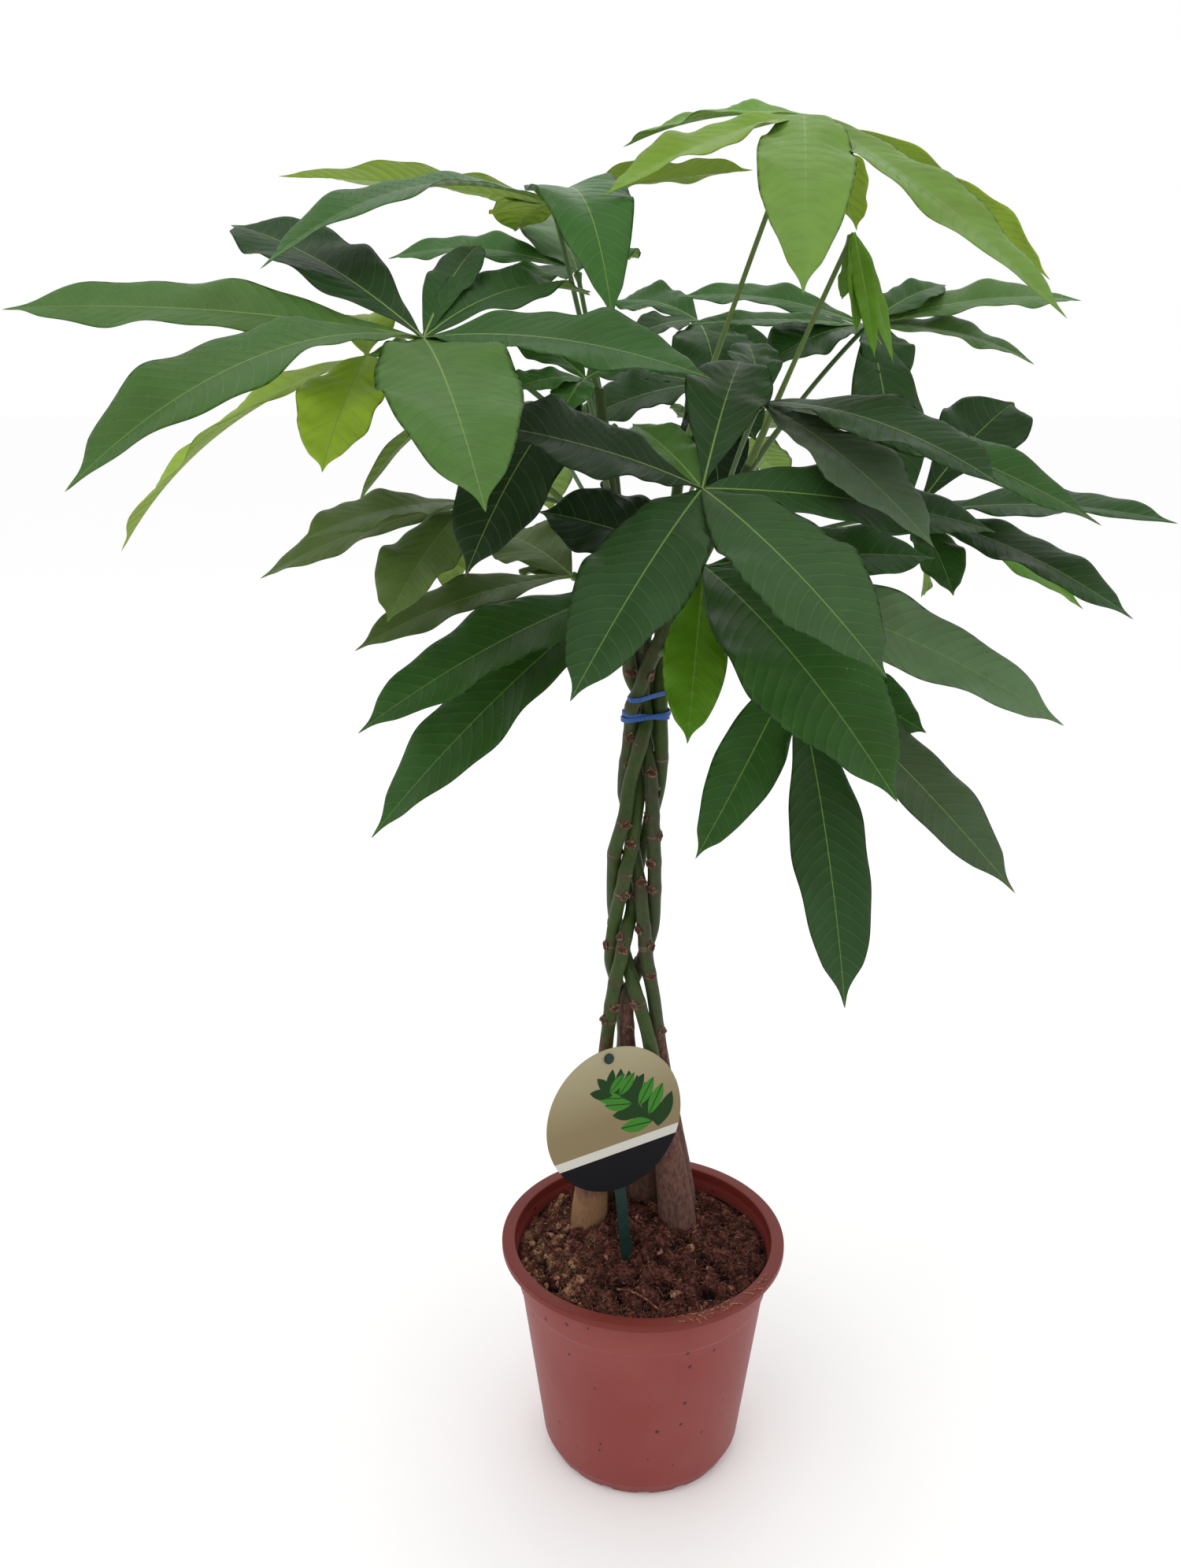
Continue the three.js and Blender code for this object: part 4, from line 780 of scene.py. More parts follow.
def makeStems():
    tree = stemTree()
    scarCork = plainNoise("leaf_scar_cork", "#2c100d", "#5a2a22", 500.0, 0.85, 0.0005)
    scarRim = plainNoise("dry_scar_rim", "#41342a", "#84694b", 420.0, 0.85, 0.0004)
    skins = {"Bark": youngBark(), "Cork": scarCork, "Rim": scarRim}
    stemLines = []
    skywards = Vector((0, 0, 1))
    for k, (greenFrom, peeledTo, age) in enumerate(stemBark):
        node = f"stem_{k + 1}"
        rng = random.Random(40 + k)
        line = stemLine(node, stemLook["step"])
        stemLines.append(line)
        scars = scarsOn(line, scarMarks[k], rng)
        marks = [line[i][0] for i, _ in scars]
        points = []
        for place, radius in line:
            near = min((place - mark).length for mark in marks)
            radius += stemLook["nodeSwell"] * exp(-((near / stemLook["nodeReach"]) ** 2))
            woody, pale = fades(place.z, greenFrom, "corkFade"), fades(place.z, peeledTo, "peelFade")
            points.append({
                "place": place, "radius": radius, "woody": woody, "pale": pale, "age": age,
                "near": min(near, 20 * mm), "isScar": 0.0, "facing": skywards, "upward": skywards,
            })
        lines = [points]
        for i, facing in scars:
            upward = (line[min(i + 1, len(line) - 1)][0] - line[i - 1][0]).normalized()
            facing = (facing - upward * facing.dot(upward)).normalized()
            scar = dict.fromkeys(("radius", "woody", "pale", "age", "near"), 0.0)
            place = line[i][0] + facing * (line[i][1] + stemLook["nodeSwell"] - 0.1 * mm)
            scar.update({"place": place, "isScar": 1.0, "facing": facing, "upward": upward})
            lines.append([scar])
        piece = grow(f"stalk_{k + 1}", guideMesh(node, lines), tree, skins)
        settle(piece, "bark", node)
    return stemLines


stemLines = makeStems()
print("stems grown")
makeLeaves(stemLines)
print("leaves grown")


band = {
    "turns": ((585, 588, 0.4), (575, 570.5, 0.4), (570.5, 573.5, 1.2)),  # left, right, stand-off
    "tall": 3.4,
    "thick": 1.1,
    "points": 96,
    "roundPoints": 48,  # round each stem
}


def bandLoop(left, right, standOff):
    # A taut loop round the stems, from one height on the left to another on the right.
    level = (left + right) / 2 * mm
    rim = []
    for line in stemLines:
        place = middleAt(line, level)
        radius = next(radius for mark, radius in line if mark.z >= level)
        radius += (standOff + band["thick"] / 2) * mm
        rim += [place.xy + Vector(spot) for spot in circle(radius, band["roundPoints"])]
    hull = [rim[i] for i in convex_hull_2d(rim)]
    lengths = [(hull[i] - hull[i - 1]).length for i in range(len(hull))]
    total = sum(lengths)
    low, high = min(p.x for p in hull), max(p.x for p in hull)
    loop = []
    walked, i = 0.0, 0
    for k in range(band["points"]):
        goal = total * k / band["points"]
        while walked + lengths[i] < goal:
            walked += lengths[i]
            i += 1
        flat = hull[i - 1].lerp(hull[i], (goal - walked) / lengths[i])
        share = (flat.x - low) / (high - low)
        loop.append({"place": Vector((flat.x, flat.y, mix(left, right, share) * mm))})
    return loop


def bandTree():
    # Sweeps a strip with rounded corners along each loop, standing upright.
    sizes = {"Tall": 0.003, "Thick": 0.001, "Corner": 0.00045, "Rubber": None}
    tree, add, give, result = newTree("bandWrap", sizes)
    line = add("MeshToCurve", {"Mesh": give["Geometry"]})
    upright = add("SetCurveNormal", {"Curve": line}, mode="Z_UP")
    strip = add("CurvePrimitiveQuadrilateral", {"Width": give["Thick"], "Height": give["Tall"]})
    soft = add("FilletCurve", {"Curve": strip, "Radius": give["Corner"], "Count": 4}, mode="POLY")
    wrap = add("CurveToMesh", {"Curve": upright, "Profile Curve": soft})
    endTree(add, give, result, ((wrap, "Rubber"),))
    return tree


def makeBand():
    # Vulcanised natural rubber, dyed through: smooth with a dull shine.
    rubber = plainNoise("vulcanised_rubber", "#0f3f8a", "#1d56a6", 500.0, 0.42, 0.0001, ior=1.52)
    loops = [bandLoop(*turn) for turn in band["turns"]]
    values = {"Tall": band["tall"] * mm, "Thick": band["thick"] * mm, "Rubber": rubber}
    piece = grow("band_wraps", guideMesh("band", loops, closed=True), bandTree(), values)
    settle(piece, "blue_rubber", "rubber_band")


makeBand()
print("band wrapped")


pot = {
    "height": 176, "rimRadius": 105, "rimInside": 95.5, "lip": 5.5, "collarRadius": 96.8,
    "stepHeight": 142, "stepRadius": 91.6, "step": 1.2, "footHeight": 11, "footRadius": 75,
    "baseRadius": 69.5, "wall": 1.7, "floor": 2.3, "corner": 4, "lobes": 16, "archRadius": 6.5,
    "archRise": 3.6, "archMiddle": 83, "archLong": 30, "drains": 6, "drainRadius": 5,
    "drainCircle": 46, "sides": 192, "round": 1.1,
}
potLook = {
    "body": "#813632",
    # The rim tone is painted shade: the lip is drawn darker than the body.
    "rim": "#6c251e",
    "bloom": "#8f4f49",  # faint grey bloom where pots have rubbed together
    "dirt": "#401d17",
    "speckSpacing": 46,  # cells per metre, of which some hold a fleck
    "rolledAt": 0.09,  # the wall's middle radius, metres
}


def mouldedPolypropylene():
    # Injection-moulded polypropylene, terracotta-coloured: even and satin, with flecks of dried peat.
    # Shade is painted onto the lip as a darker colour.
    material, add, shader = newMaterial(
        "moulded_polypropylene", {"IOR": 1.49, "Roughness": 0.46, "Specular IOR Level": 0.25}
    )
    place = add("TexCoord").outputs["Object"]
    axes = add("SeparateXYZ", [place])
    height = axes.outputs["Z"]
    clouds = add("TexNoise", {"Vector": place, "Scale": 14.0, "Detail": 4.0})
    worn = add("MapRange", [clouds, 0.45, 0.75, 0, 0.35])
    lipEnd = (pot["height"] - pot["lip"]) * mm
    # The lip's mask: shade is painted there, and it keeps no flecks.
    lipShadeMask = add("MapRange", [height, lipEnd - 2.5 * mm, lipEnd])
    warped = add("TexNoise", {"Vector": place, "Scale": 300.0, "Detail": 2.0})
    # The flecks lie on the wall rolled out flat: the way round it, and the height.
    turn = add("ARCTAN2", [axes.outputs["Y"], axes.outputs["X"]])
    way = add("MULTIPLY", [turn, potLook["rolledAt"]])
    rolled = add("CombineXYZ", [way, height])
    cells = add("TexVoronoi", {"Vector": rolled, "Scale": potLook["speckSpacing"]}, voronoi_dimensions="2D")
    chance = add("SeparateColor", {"Color": cells.outputs["Color"]}).outputs["Red"]
    size = add("MapRange", [chance, 0.35, 1.0, 0.03, 0.115])
    ragged = add("MULTIPLY_ADD", [warped, 0.07, cells.outputs["Distance"]])
    fleck = add("SUBTRACT", [add("LESS_THAN", [ragged, size]), lipShadeMask], use_clamp=True)
    colour = linear(potLook["body"])
    for share, tone in ((worn, "bloom"), (lipShadeMask, "rim"), (fleck, "dirt")):
        colour = add("Mix", {"Factor": share, "A": colour, "B": linear(potLook[tone])}, data_type="RGBA")
    skin = add("TexNoise", {"Vector": place, "Scale": 900.0, "Detail": 2.0})
    bump = add("Bump", {"Height": skin, "Strength": 0.15, "Distance": 0.0003})
    connect(shader, {"Base Color": colour, "Normal": bump})
    return material


def wallRadius(z):
    if z < pot["footHeight"]:
        return mix(pot["baseRadius"], pot["footRadius"], z / pot["footHeight"])
    if z < pot["stepHeight"]:
        share = (z - pot["footHeight"]) / (pot["stepHeight"] - pot["footHeight"])
        return mix(pot["footRadius"], pot["stepRadius"], share)
    share = (z - pot["stepHeight"]) / (pot["height"] - pot["stepHeight"])
    return mix(pot["stepRadius"] + pot["step"], pot["collarRadius"], share)


def rounded(corners, radius, steps=4):
    # An outline with each inner corner drawn as a short curve.
    points = [corners[0]]
    for before, corner, after in zip(corners, corners[1:], corners[2:]):
        a, b, c = Vector(before), Vector(corner), Vector(after)
        start = b + (a - b).normalized() * min(radius, (a - b).length * 0.45)
        end = b + (c - b).normalized() * min(radius, (c - b).length * 0.45)
        for i in range(steps + 1):
            points.append(tuple(bowed(start, b, end, i / steps)))
    return points + [corners[-1]]


def turned(rings, low, high):
    # Points and faces of a body turned about the pot's axis. Each ring holds a radius and a height
    # for every side, and the ends close at two heights on the axis.
    sides = len(rings[0])
    points = [(0, 0, low * mm), (0, 0, high * mm)]
    for ring in rings:
        for i, (radius, height) in enumerate(ring):
            turn = i / sides * 2 * pi
            points.append((radius * cos(turn) * mm, radius * sin(turn) * mm, height * mm))
    faces = []
    last = 2 + (len(rings) - 1) * sides
    for i in range(sides):
        j = (i + 1) % sides
        faces += [(0, 2 + j, 2 + i), (1, last + i, last + j)]
        for a in range(2, last, sides):
            faces.append((a + i, a + j, a + sides + j, a + sides + i))
    return points, faces


def cylinder(radius, long, place, toAxis, sides=24):
    # A plain cutter, lying along the X axis or standing along Z.
    points, faces = [], []
    for end in (-0.5, 0.5):
        for a, b in circle(radius, sides):
            points.append((long * end, a, b) if toAxis else (a, b, long * end))
    for i in range(sides):
        j = (i + 1) % sides
        faces.append((i, j, sides + j, sides + i))
    faces += [tuple(reversed(range(sides))), tuple(range(sides, 2 * sides))]
    return [(Vector(p) + Vector(place)) for p in points], faces


def potCutters():
    points, faces = [], []
    arch = (pot["archMiddle"], 0, pot["archRise"] - pot["archRadius"])
    kinds = (
        (pot["lobes"], cylinder(pot["archRadius"], pot["archLong"], arch, True)),
        (pot["drains"], cylinder(pot["drainRadius"], 4 * pot["floor"], (pot["drainCircle"], 0, 0), False)),
    )
    for count, (shape, sides) in kinds:
        for i in range(count):
            turn = Matrix.Rotation(i / count * 2 * pi, 3, "Z")
            first = len(points)
            points += [turn @ p * mm for p in shape]
            faces += [tuple(first + corner for corner in side) for side in sides]
    return newPiece("pot_cutters", points, faces, smoothed=False)


def makePot():
    h, wall = pot["height"], pot["wall"]
    lipEnd = h - pot["lip"]
    outer = (0, pot["footHeight"], pot["stepHeight"] - pot["floor"], pot["stepHeight"], lipEnd - pot["floor"])
    corners = [(0, 0)]
    corners += [(wallRadius(z), z) for z in outer]
    rim = pot["rimRadius"]
    corners += [(wallRadius(h), h - wall), (rim - wall, h - wall), (rim - wall, lipEnd)]
    corners += [(rim, lipEnd), (rim, h), (pot["rimInside"], h)]
    corners += [(wallRadius(z) - wall, z) for z in reversed(outer[2:])]
    corners += [(wallRadius(pot["footHeight"]) - wall, pot["footHeight"])]
    corners += [(pot["baseRadius"] - pot["corner"], pot["floor"]), (0, pot["floor"])]
    outline = rounded(corners, pot["round"])
    rings = [[corner] * pot["sides"] for corner in outline[1:-1]]
    piece = newPiece("nursery_pot", *turned(rings, outline[0][1], outline[-1][1]))
    cutters = potCutters()
    cut = piece.modifiers.new("openings", "BOOLEAN")
    cut.object = cutters
    cut.solver = "EXACT"
    depsgraph = bpy.context.evaluated_depsgraph_get()
    piece.data = bpy.data.meshes.new_from_object(piece.evaluated_get(depsgraph), depsgraph=depsgraph)
    piece.modifiers.clear()
    bpy.data.objects.remove(cutters)
    piece.data.shade_smooth()
    piece.data.set_sharp_from_angle(angle=radians(35))
    piece.data.materials.clear()
    piece.data.materials.append(mouldedPolypropylene())
    settle(piece, "pot_plastic", "pot")


makePot()
print("pot moulded")


soil = {
    "level": 162, "mound": 19, "moundSpread": 46, "moundAt": (-2, 22), "lump": 1.3, "edgeDrop": 2,
    "edgeBlend": 7, "gap": 0.3, "rings": 104, "sides": 336, "strewnTo": 90.5,
}


def soilTop(x, y):
    coarse = sin(x * 0.21 + 1.3) * sin(y * 0.19 + 0.4)
    fine = sin(x * 0.43 + y * 0.31) * cos(y * 0.47 - x * 0.13)
    away = hypot(x - soil["moundAt"][0], y - soil["moundAt"][1]) / soil["moundSpread"]
    return soil["level"] + soil["lump"] * (coarse + fine) + soil["mound"] * exp(-(away**2))


def soilGround():
    # The filling: the pot's inside up to the soil's edge, closed by the heaped top.
    edge = soil["level"] - soil["edgeDrop"]
    inside = [(pot["baseRadius"] - pot["corner"] - soil["gap"], pot["floor"] + soil["gap"])]
    for z in (pot["footHeight"], pot["stepHeight"] - pot["floor"], pot["stepHeight"], edge):
        inside.append((wallRadius(z) - pot["wall"] - soil["gap"], z))
    reach = inside[-1][0]
    rings = [[(r, z)] * soil["sides"] for r, z in inside]
    for i in range(1, soil["rings"]):
        radius = reach * (soil["rings"] - i) / soil["rings"]
        ring = []
        for k in range(soil["sides"]):
            turn = k / soil["sides"] * 2 * pi
            top = soilTop(radius * cos(turn), radius * sin(turn))
            ring.append((radius, mix(edge, top, smooth((reach - radius) / soil["edgeBlend"]))))
        rings.append(ring)
    points, faces = turned(rings, pot["floor"] + soil["gap"], soilTop(0, 0))
    mesh = bpy.data.meshes.new("ground")
    mesh.from_pydata(points, [], faces)
    return mesh


peatLook = {
    # The crease tone is painted shade in the ground's creases, and the darkest of the crumbs.
    "darkPeatAndCreaseShade": "#140a0b",
    "crest": "#6e4239",
    "dry": "#a17a5e",  # peat that has dried on top, most of it on the left
    "strand": "#4a271d",
    "straw": "#b39067",
    "patches": 85,  # of drying, about 12 mm each
    "grain": 430,
}


def looseParts(name, dark, light, dry):
    # Loose plant matter: matt, its colour set by each bit's own "shade", from a dark base over a
    # light one to dry tan above 1, and drier in patches towards the left side. On the ground "shade"
    # is the height, so the dark base paints shade into the creases and the light one paints light on
    # the tops of the clods; elsewhere it is each loose bit's own.
    material, add, shader = newMaterial(name, {"IOR": 1.4, "Roughness": 0.95, "Specular IOR Level": 0.15})
    place = add("TexCoord").outputs["Object"]
    shade = add("Attribute", attribute_name="shade").outputs["Fac"]
    side = add("SeparateXYZ", {"Vector": place}).outputs["X"]
    zone = add("MapRange", [side, -0.025, -0.07])
    patches = add("TexNoise", {"Vector": place, "Scale": peatLook["patches"], "Detail": 3.0})
    broken = add("MapRange", [patches, 0.46, 0.62, 0, 0.8])
    drying = add("MULTIPLY", [zone, broken])
    grain = add("TexNoise", {"Vector": place, "Scale": peatLook["grain"], "Detail": 5.0})
    spread = add("MapRange", [grain, 0.35, 0.65, 0.25, 1.4])
    level = add("MULTIPLY", [shade, spread])
    above = add("SUBTRACT", [level, 1.0], use_clamp=True)
    dried = add("MULTIPLY_ADD", [level, drying, above], use_clamp=True)
    colour = linear(dark)
    for share, tone in ((level, light), (dried, dry)):
        colour = add("Mix", {"Factor": share, "A": colour, "B": linear(tone)}, data_type="RGBA")
    bump = add("Bump", {"Height": grain, "Strength": 0.7, "Distance": 0.0008})
    connect(shader, {"Base Color": colour, "Normal": bump})
    return material


def soilTree():
    # Heaps clods and grit on top of the filling, and strews crumbs, lumps and fibres over it.
    tree, add, give, result = newTree("soilBed", {
        "Clods per m": 80.0, "Clod height": 0.0085, "Grit per m": 230.0, "Grit height": 0.0046,
        "Crumbs per m2": 90000.0, "Lumps per m2": 2800.0, "Fibres per m2": 46000.0, "Fibre": 0.0002,
        "Seed": 7, "Peat": None, "Strand": None,
    })
    edge = (soil["level"] - soil["edgeDrop"] + 0.2) * mm
    axes = add("SeparateXYZ", [add("InputPosition")])
    flat = add("CombineXYZ", [axes.outputs["X"], axes.outputs["Y"]])
    fromAxis = add("VectorMath", [flat], operation="LENGTH").outputs["Value"]
    isTop = add("GREATER_THAN", [axes.outputs["Z"], edge])
    # Cells with round tops and creases between them, bent so that no two are alike.
    bent = add("TexNoise", {"Vector": flat, "Scale": 70.0, "Detail": 3.0})
    shift = add("VectorMath", {0: bent.outputs["Color"], "Scale": 0.014}, operation="SCALE")
    warped = add("VectorMath", [flat, shift])
    raised = add("MULTIPLY_ADD", [bent, 0.006, -0.003])
    for spacing, height in (("Clods per m", "Clod height"), ("Grit per m", "Grit height")):
        bed = {"Vector": warped, "Scale": give[spacing], "Smoothness": 0.2}
        cells = add("TexVoronoi", bed, feature="SMOOTH_F1", voronoi_dimensions="2D")
        dome = add("SUBTRACT", [0.42, cells.outputs["Distance"]])
        raised = add("MULTIPLY_ADD", [dome, give[height], raised])
    push = add("CombineXYZ", {"Z": raised})
    # The height is kept as "shade": the peat's colour paints shade into the creases and light onto the tops.
    shade = add("MapRange", [raised, -0.003, 0.0042])
    ground = add("StoreNamedAttribute", {"Geometry": give["Geometry"], "Name": "shade", "Value": shade})
    ground = add("SetPosition", {"Geometry": ground, "Selection": isTop, "Offset": push})
    ground = add("SetShadeSmooth", {"Geometry": ground})
    shapes = [(ground, "Peat")]

    heap = add("MULTIPLY", [add("LESS_THAN", [fromAxis, soil["strewnTo"] * mm]), isTop])
    onLeft = add("MapRange", [axes.outputs["X"], -0.02, -0.07, 0.3, 3.0])
    ball = add("MeshIcoSphere", {"Radius": 1.0, "Subdivisions": 1})
    bend = {
        "Resolution": 6, "Start": (-0.005, 0, 0), "Start Handle": (-0.002, 0.003, 0.002),
        "End Handle": (0.002, -0.002, 0.0025), "End": (0.005, 0.001, 0),
    }
    bow = add("CurvePrimitiveBezierSegment", bend)
    thread = add("CurvePrimitiveCircle", {"Resolution": 3, "Radius": give["Fibre"]})
    fibre = add("CurveToMesh", {"Curve": bow, "Profile Curve": thread, "Fill Caps": True})
    # What is strewn: shape, where it lies thicker, size from and to, tilt, shade from and to, material.
    kinds = {
        "Crumbs": (ball, 1.0, (0.0005, 0.0005, 0.0004), (0.0019, 0.0018, 0.0014), 3.1, 0.2, 1.0, "Peat"),
        "Lumps": (ball, onLeft, (0.001, 0.001, 0.0008), (0.005, 0.0044, 0.0032), 3.1, 1.1, 1.9, "Peat"),
        "Fibres": (fibre, 1.0, (0.4, 0.4, 0.7), (1.3, 1.3, 1.3), 0.8, 0.2, 1.7, "Strand"),
    }
    for i, (name, (shape, thicker, low, high, tilt, dark, light, skin)) in enumerate(kinds.items()):
        seed = add("ADD", [give["Seed"], float(i)])
        amount = add("MULTIPLY", [give[f"{name} per m2"], thicker])
        scatter = {"Mesh": ground, "Selection": heap, "Density": amount, "Seed": seed}
        spread = add("DistributePointsOnFaces", scatter)
        sizes = add("RandomValue", {0: low, 1: high, "Seed": seed}, data_type="FLOAT_VECTOR")
        way = {0: (-tilt, -tilt, 0), 1: (tilt, tilt, 6.28), "Seed": seed}
        turns = add("EulerToRotation", [add("RandomValue", way, data_type="FLOAT_VECTOR")])
        placed = {"Points": spread, "Instance": shape, "Rotation": turns, "Scale": sizes}
        bits = add("InstanceOnPoints", placed)
        own = add("RandomValue", {2: dark, 3: light, "Seed": seed})
        shaded = {"Geometry": bits, "Name": "shade", "Value": own}
        shapes.append((add("StoreNamedAttribute", shaded, domain="INSTANCE"), skin))
    endTree(add, give, result, shapes, smoothed=False)
    return tree


# What lies loose on top. Chips of bark, as u, v and millimetres across; a twig; and straws on the
# rim, by the angle they start at.
litter = {
    "chips": (
        (722, 1641, 9.5), (858, 1643, 8), (855, 1552, 7), (728, 1652, 6), (706, 1622, 6),
        (684, 1590, 5), (713, 1520, 6), (668, 1600, 5), (838, 1590, 5), (900, 1610, 4.5),
    ),
    "twig": ((783, 1637), (800, 1639), (815, 1646), (827, 1655), (838, 1664)),
    "twigRadius": 0.9,
    "chipLift": 1.5,
    "twigLift": 2.5,
    "strawSize": 0.22,
    "straws": 24,
    "strawFrom": -80,
    "strawTo": -32,
}


def onSoil(u, v, lift):
    # The point of the drawing that lies a lift above the soil.
    way = sight(u, v)
    z = soil["level"] * mm
    for _ in range(6):
        place = eye["at"] + way * ((z - eye["at"].z) / way.z)
        z = (soilTop(place.x / mm, place.y / mm) + lift) * mm
    return place


def litterTree():
    # Sweeps a thread along each line, and sets a ragged chip at each single point.
    tree, add, give, result = newTree("litterStrewn", {"Raggedness": 0.7, "Chip": None, "Strand": None})
    read = {key: add("InputNamedAttribute", {"Name": key}) for key in ("isChip", "size")}
    parts = add("SeparateGeometry", {"Geometry": give["Geometry"], "Selection": read["isChip"]})
    line = add("MeshToCurve", {"Mesh": parts.outputs["Inverted"]})
    ring = add("CurvePrimitiveCircle", {"Resolution": 6, "Radius": 1.0})
    sweep = {"Curve": line, "Profile Curve": ring, "Scale": read["size"], "Fill Caps": True}
    threads = add("CurveToMesh", sweep)
    ball = add("MeshIcoSphere", {"Radius": 0.5, "Subdivisions": 4})
    way = {0: (-0.4, -0.4, 0), 1: (0.4, 0.4, 6.28), "Seed": 5}
    turns = add("EulerToRotation", [add("RandomValue", way, data_type="FLOAT_VECTOR")])
    size = add("VectorMath", {0: (1.0, 0.7, 0.5), "Scale": read["size"]}, operation="SCALE")
    placed = {"Points": parts, "Instance": ball, "Rotation": turns, "Scale": size}
    chips = add("RealizeInstances", [add("InstanceOnPoints", placed)])
    noise = add("TexNoise", {"Vector": add("InputPosition"), "Scale": 260.0, "Detail": 3.0})
    centred = add("VectorMath", [noise.outputs["Color"], (0.5, 0.5, 0.5)], operation="SUBTRACT")
    reach = add("MULTIPLY", [read["size"], give["Raggedness"]])
    nudge = add("VectorMath", {0: centred, "Scale": reach}, operation="SCALE")
    chips = add("SetPosition", {"Geometry": chips, "Offset": nudge})
    endTree(add, give, result, ((chips, "Chip"), (threads, "Strand")))
    return tree


def makeSoil():
    peat = looseParts("crumbled_peat", peatLook["darkPeatAndCreaseShade"], peatLook["crest"], peatLook["dry"])
    strand = looseParts("coir_fibre", peatLook["strand"], peatLook["crest"], peatLook["straw"])
    piece = grow("peat_bed", soilGround(), soilTree(), {"Peat": peat, "Strand": strand})
    settle(piece, "peat_soil", "soil")

    rng = random.Random(12)
    lines = [
        [{
            "place": onSoil(u, v, litter["chipLift"]), "size": wide * mm, "isChip": 1.0,
            "shade": rng.uniform(1.2, 1.8),
        }]
        for u, v, wide in litter["chips"]
    ]
    twig = [onSoil(u, v, litter["twigLift"]) for u, v in litter["twig"]]
    thick = litter["twigRadius"] * mm
    lines.append([{"place": place, "size": thick, "isChip": 0.0, "shade": 1.1} for place in twig])
    for _ in range(litter["straws"]):
        angle = radians(rng.uniform(litter["strawFrom"], litter["strawTo"]))
        radius = rng.uniform(pot["rimInside"], pot["rimRadius"] - 2)
        heading, curl = angle + rng.uniform(0.6, 2.4), rng.uniform(-0.3, 0.3)
        place = Vector((radius * cos(angle), radius * sin(angle), pot["height"] + 0.2)) * mm
        line = []
        for _ in range(6):
            line.append({"place": place, "size": litter["strawSize"] * mm, "isChip": 0.0, "shade": 1.8})
            heading += curl
            ahead = Vector((cos(heading), sin(heading), 0.03))
            place = place + ahead * rng.uniform(1.0, 2.4) * mm
        lines.append(line)
    skins = {"Chip": peat, "Strand": strand}
    piece = grow("loose_litter", guideMesh("litter", lines), litterTree(), skins)
    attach(piece, "root")


makeSoil()
print("soil strewn")


card = {
    "radius": 54.6, "thick": 0.9, "hole": 3.1, "holeDrop": 7, "ease": 0.2, "sides": 144, "yaw": 27.5,
    "swing": 0.7, "gap": 0.3,
}
stake = {"foot": (-11.5, -20, 168), "top": (-26.7, -8, 327.3), "ease": 0.3}


def stakeFrame():
    foot, top = Vector(stake["foot"]) * mm, Vector(stake["top"]) * mm
    up = (top - foot).normalized()
    across = (Vector((1, 0, 0)) - up * up.x).normalized()
    across = Quaternion(up, radians(card["yaw"])) @ across
    front = across.cross(up)
    turn = Matrix((across, up, front)).transposed().to_4x4()
    return Matrix.Translation(top) @ turn


cardLook = {
    "paper": "#857657", "light": "#a39a7c", "pale": "#c9c6bd", "deepLeaf": "#1c3a18", "brightLeaf": "#3a7a26",
    "band": "#0e0d11", "bandHeight": 28.5, "stripe": 7.0,
}


sprig = {
    "pairs": 11, "foot": (34, -17), "tip": (-3, 20), "arch": 24, "turn": 118, "spread": 58, "bend": 20,
    "fan": 34, "long": 13.5, "shorter": 4.5,
}


def sprigLeaves():
    # An arched twig with two rows of leaves, of which the back row is drawn first. Each leaf: middle,
    # turn, half its length, half its width and colour.
    back, front = [], []
    for i in range(sprig["pairs"]):
        share = i / (sprig["pairs"] - 1)
        x = mix(sprig["foot"][0], sprig["tip"][0], share)
        y = mix(sprig["foot"][1], sprig["tip"][1], share) + sprig["arch"] * share * (1 - share)
        side = 1 if i % 2 else -1
        turn = sprig["turn"] + sprig["spread"] * side - sprig["bend"] * share
        long = sprig["long"] - sprig["shorter"] * share
        reach = long + 1
        ahead, behind = radians(turn), radians(turn - sprig["fan"] * side)
        middle = (x + reach * cos(ahead), y + reach * sin(ahead))
        front.append((middle, ahead, long, long * 0.42, "brightLeaf" if i % 3 else "deepLeaf"))
        middle = (x + reach * cos(behind), y + reach * sin(behind))
        back.insert(0, (middle, behind, long * 1.05, long * 0.4, "deepLeaf"))
    return back + front


def printedCard():
    # Coated card, offset printed and varnished: flat colours under a soft shine. The print is a
    # plain design: a sprig of leaves in two greens over a pale strip and a bare dark band.
    material, add, shader = newMaterial(
        "coated_card", {"IOR": 1.5, "Roughness": 0.5, "Specular IOR Level": 0.12}
    )
    spot = add("Attribute", attribute_name="print").outputs["Vector"]
    axes = add("SeparateXYZ", [spot])
    x, y = axes.outputs["X"], axes.outputs["Y"]
    base = cardLook["bandHeight"] - card["radius"]
    layers = [
        (add("MapRange", [y, 0.0, 50.0]), "light"),
        (add("LESS_THAN", [y, base + cardLook["stripe"]]), "pale"),
    ]
    for (middleX, middleY), turn, long, half, tone in sprigLeaves():
        cosine, sine = cos(turn), sin(turn)
        along = add("MULTIPLY_ADD", [x, cosine / long, -(middleX * cosine + middleY * sine) / long])
        along = add("MULTIPLY_ADD", [y, sine / long, along])
        aside = add("MULTIPLY_ADD", [x, -sine / half, (middleX * sine - middleY * cosine) / half])
        wide = add("ABSOLUTE", [add("MULTIPLY_ADD", [y, cosine / half, aside])])
        # A leaf is where the width and the square of the length come to less than one.
        filled = add("ADD", [add("MULTIPLY", [along, along]), wide])
        layers.append((add("LESS_THAN", [filled, 1.0]), tone))
        if tone == "brightLeaf":
            rib = add("MULTIPLY", [add("LESS_THAN", [wide, 0.09]), add("LESS_THAN", [filled, 0.95])])
            layers.append((rib, "deepLeaf"))
    layers.append((add("LESS_THAN", [y, base]), "band"))
    colour = linear(cardLook["paper"])
    for mask, tone in layers:
        colour = add("Mix", {"Factor": mask, "A": colour, "B": linear(cardLook[tone])}, data_type="RGBA")
    connect(shader, {"Base Color": colour})
    return material


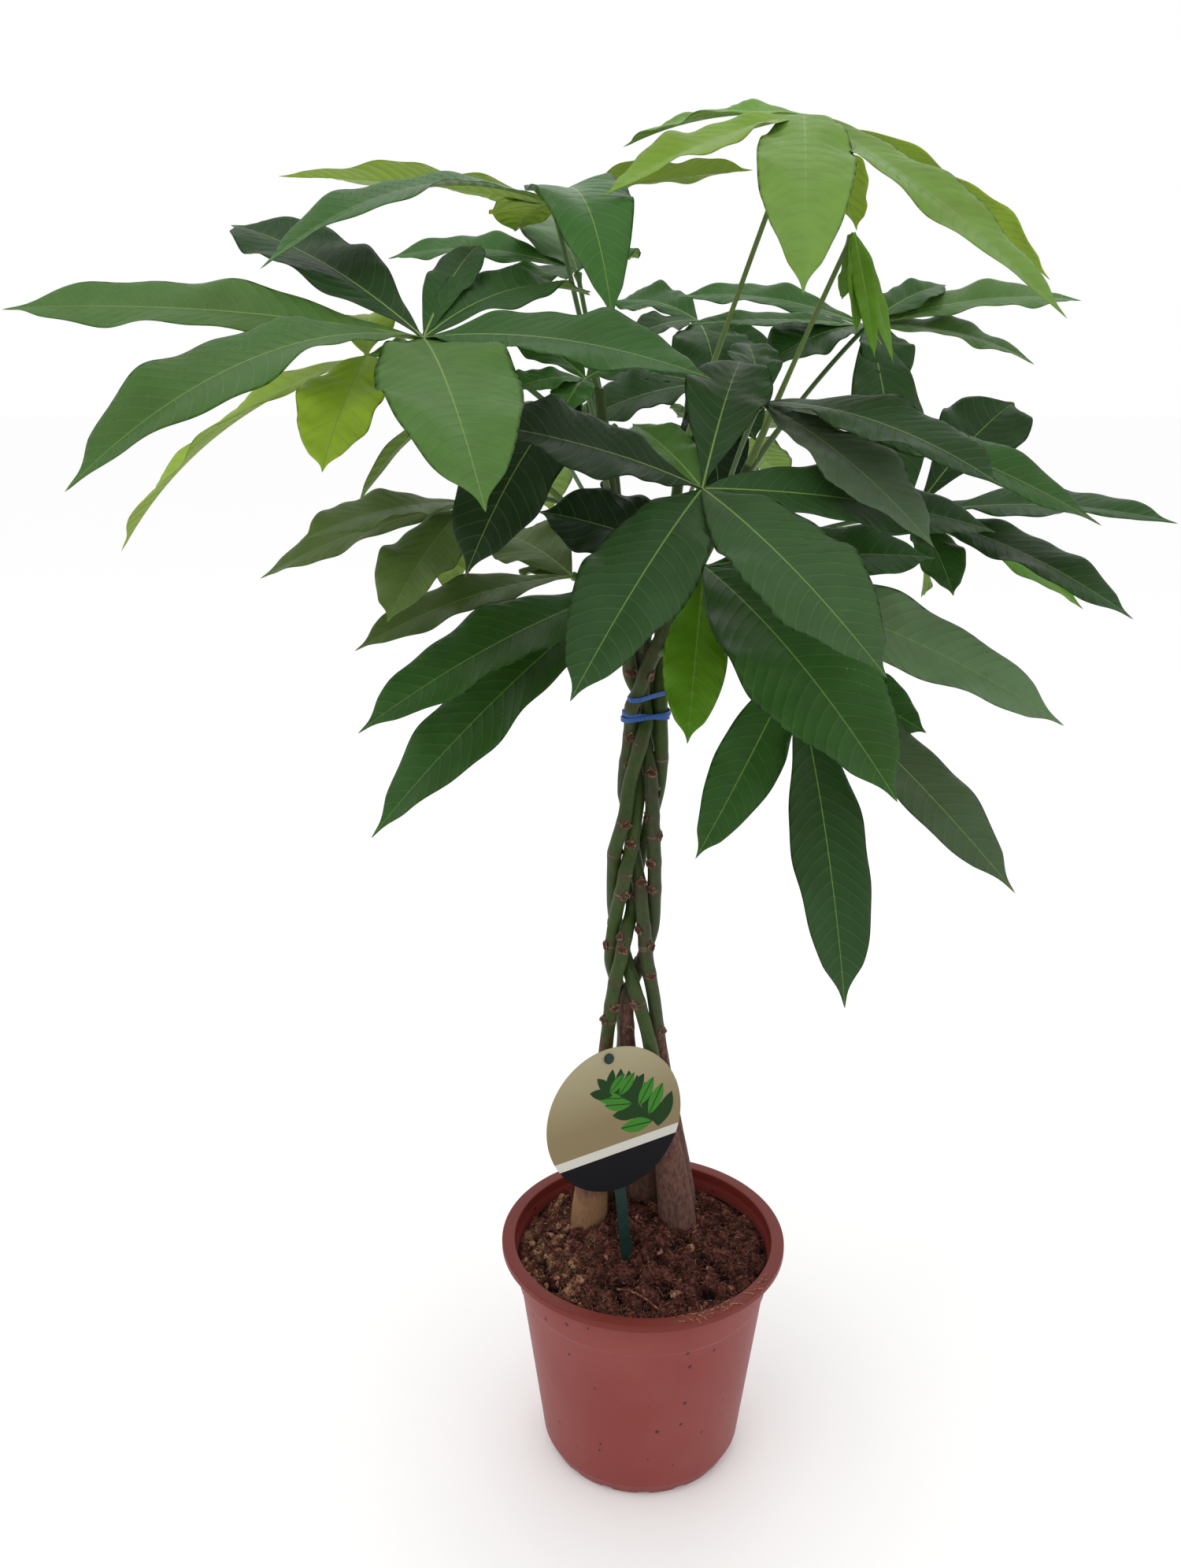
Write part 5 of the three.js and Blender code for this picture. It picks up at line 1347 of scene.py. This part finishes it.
def makeCard():
    # A disc with a punched hole, its edges eased, hung on the stake's peg.
    sides, half = card["sides"], card["thick"] / 2
    edge, hole, ease = card["radius"], card["hole"], card["ease"]
    centre = edge - card["holeDrop"]
    # Each ring: radius, height, and how far its middle lies below the hole's.
    rings = (
        (hole, half, 0), (hole + ease, 2 * half, 0), (edge - ease, 2 * half, centre),
        (edge, half + ease, centre), (edge, half - ease, centre), (edge - ease, 0, centre),
        (hole + ease, 0, 0),
    )
    points, faces = [], []
    for r, (radius, z, below) in enumerate(rings):
        points += [(x, y - below, z) for x, y in circle(radius, sides)]
        a, b = r * sides, (r + 1) % len(rings) * sides
        for i in range(sides):
            j = (i + 1) % sides
            faces.append((a + i, b + i, b + j, a + j))
    stand = stakeFrame()
    swing = Matrix.Rotation(radians(card["swing"]), 4, "Z")
    place = stand @ Matrix.Diagonal((mm, mm, mm, 1)) @ Matrix.Translation((0, 0, card["gap"])) @ swing
    piece = newPiece("printed_card", [place @ Vector(p) for p in points], faces)
    piece.data.set_sharp_from_angle(angle=radians(30))
    marks = piece.data.attributes.new("print", "FLOAT_VECTOR", "POINT")
    flat = np.array([(p[0], p[1] + centre, p[2]) for p in points], np.float32)
    marks.data.foreach_set("vector", flat.ravel())
    piece.data.materials.append(printedCard())
    settle(piece, "card", "label_card")


def makeStake():
    # The stake is the CAD's own shape with its edges eased, as moulded.
    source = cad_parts["label_stake"].data
    shape = bmesh.new()
    shape.from_mesh(source)
    bmesh.ops.remove_doubles(shape, verts=shape.verts, dist=1e-6)
    bmesh.ops.dissolve_limit(shape, angle_limit=radians(1), verts=shape.verts, edges=shape.edges)
    mesh = bpy.data.meshes.new("stake")
    shape.to_mesh(mesh)
    shape.free()
    mesh.materials.append(plainNoise("moulded_polystyrene", "#04221c", "#062e26", 90.0, 0.5, 0.0001, ior=1.4))
    piece = newObject("card_stake", mesh)
    bevel = piece.modifiers.new("eased edges", "BEVEL")
    bevel.width = stake["ease"] * mm
    bevel.segments = 2
    bevel.limit_method = "ANGLE"
    mesh.shade_smooth()
    mesh.set_sharp_from_angle(angle=radians(50))
    settle(piece, "green_plastic", "label_stake")


makeCard()
makeStake()
print("card hung")


def makeStage():
    size = 12  # half the floor's width, metres
    corners = [(-size, -size, 0), (size, -size, 0), (size, size, 0), (-size, size, 0)]
    floor = newPiece("floor", corners, [(0, 1, 2, 3)])
    pale = newMaterial("pale_floor", {"Base Color": linear("#fdfdfd"), "Roughness": 0.9})[0]
    floor.data.materials.append(pale)
    world = bpy.data.worlds.new("room")
    bpy.context.scene.world = world
    world.use_nodes = True
    connect(world.node_tree.nodes["Background"], {"Color": linear("#ffffff"), "Strength": 1.0})
    # Each lamp: place, width and watts.
    lamps = {
        "key": ((-0.9, -1.0, 2.6), 1.6, 11),
        "fill": ((1.6, -1.2, 1.4), 1.4, 2),
        "back": ((0.4, 1.6, 2.2), 1.6, 6),
    }
    for name, (place, width, watts) in lamps.items():
        lamp = bpy.data.lights.new(name, "AREA")
        lamp.size = width
        lamp.energy = watts
        holder = newObject(name, lamp)
        holder.location = place
        toPlant = Vector((0, 0, 0.55)) - Vector(place)
        holder.rotation_euler = toPlant.to_track_quat("-Z", "Y").to_euler()
    bpy.context.scene.view_settings.view_transform = "Standard"


makeStage()
print("stage lit")
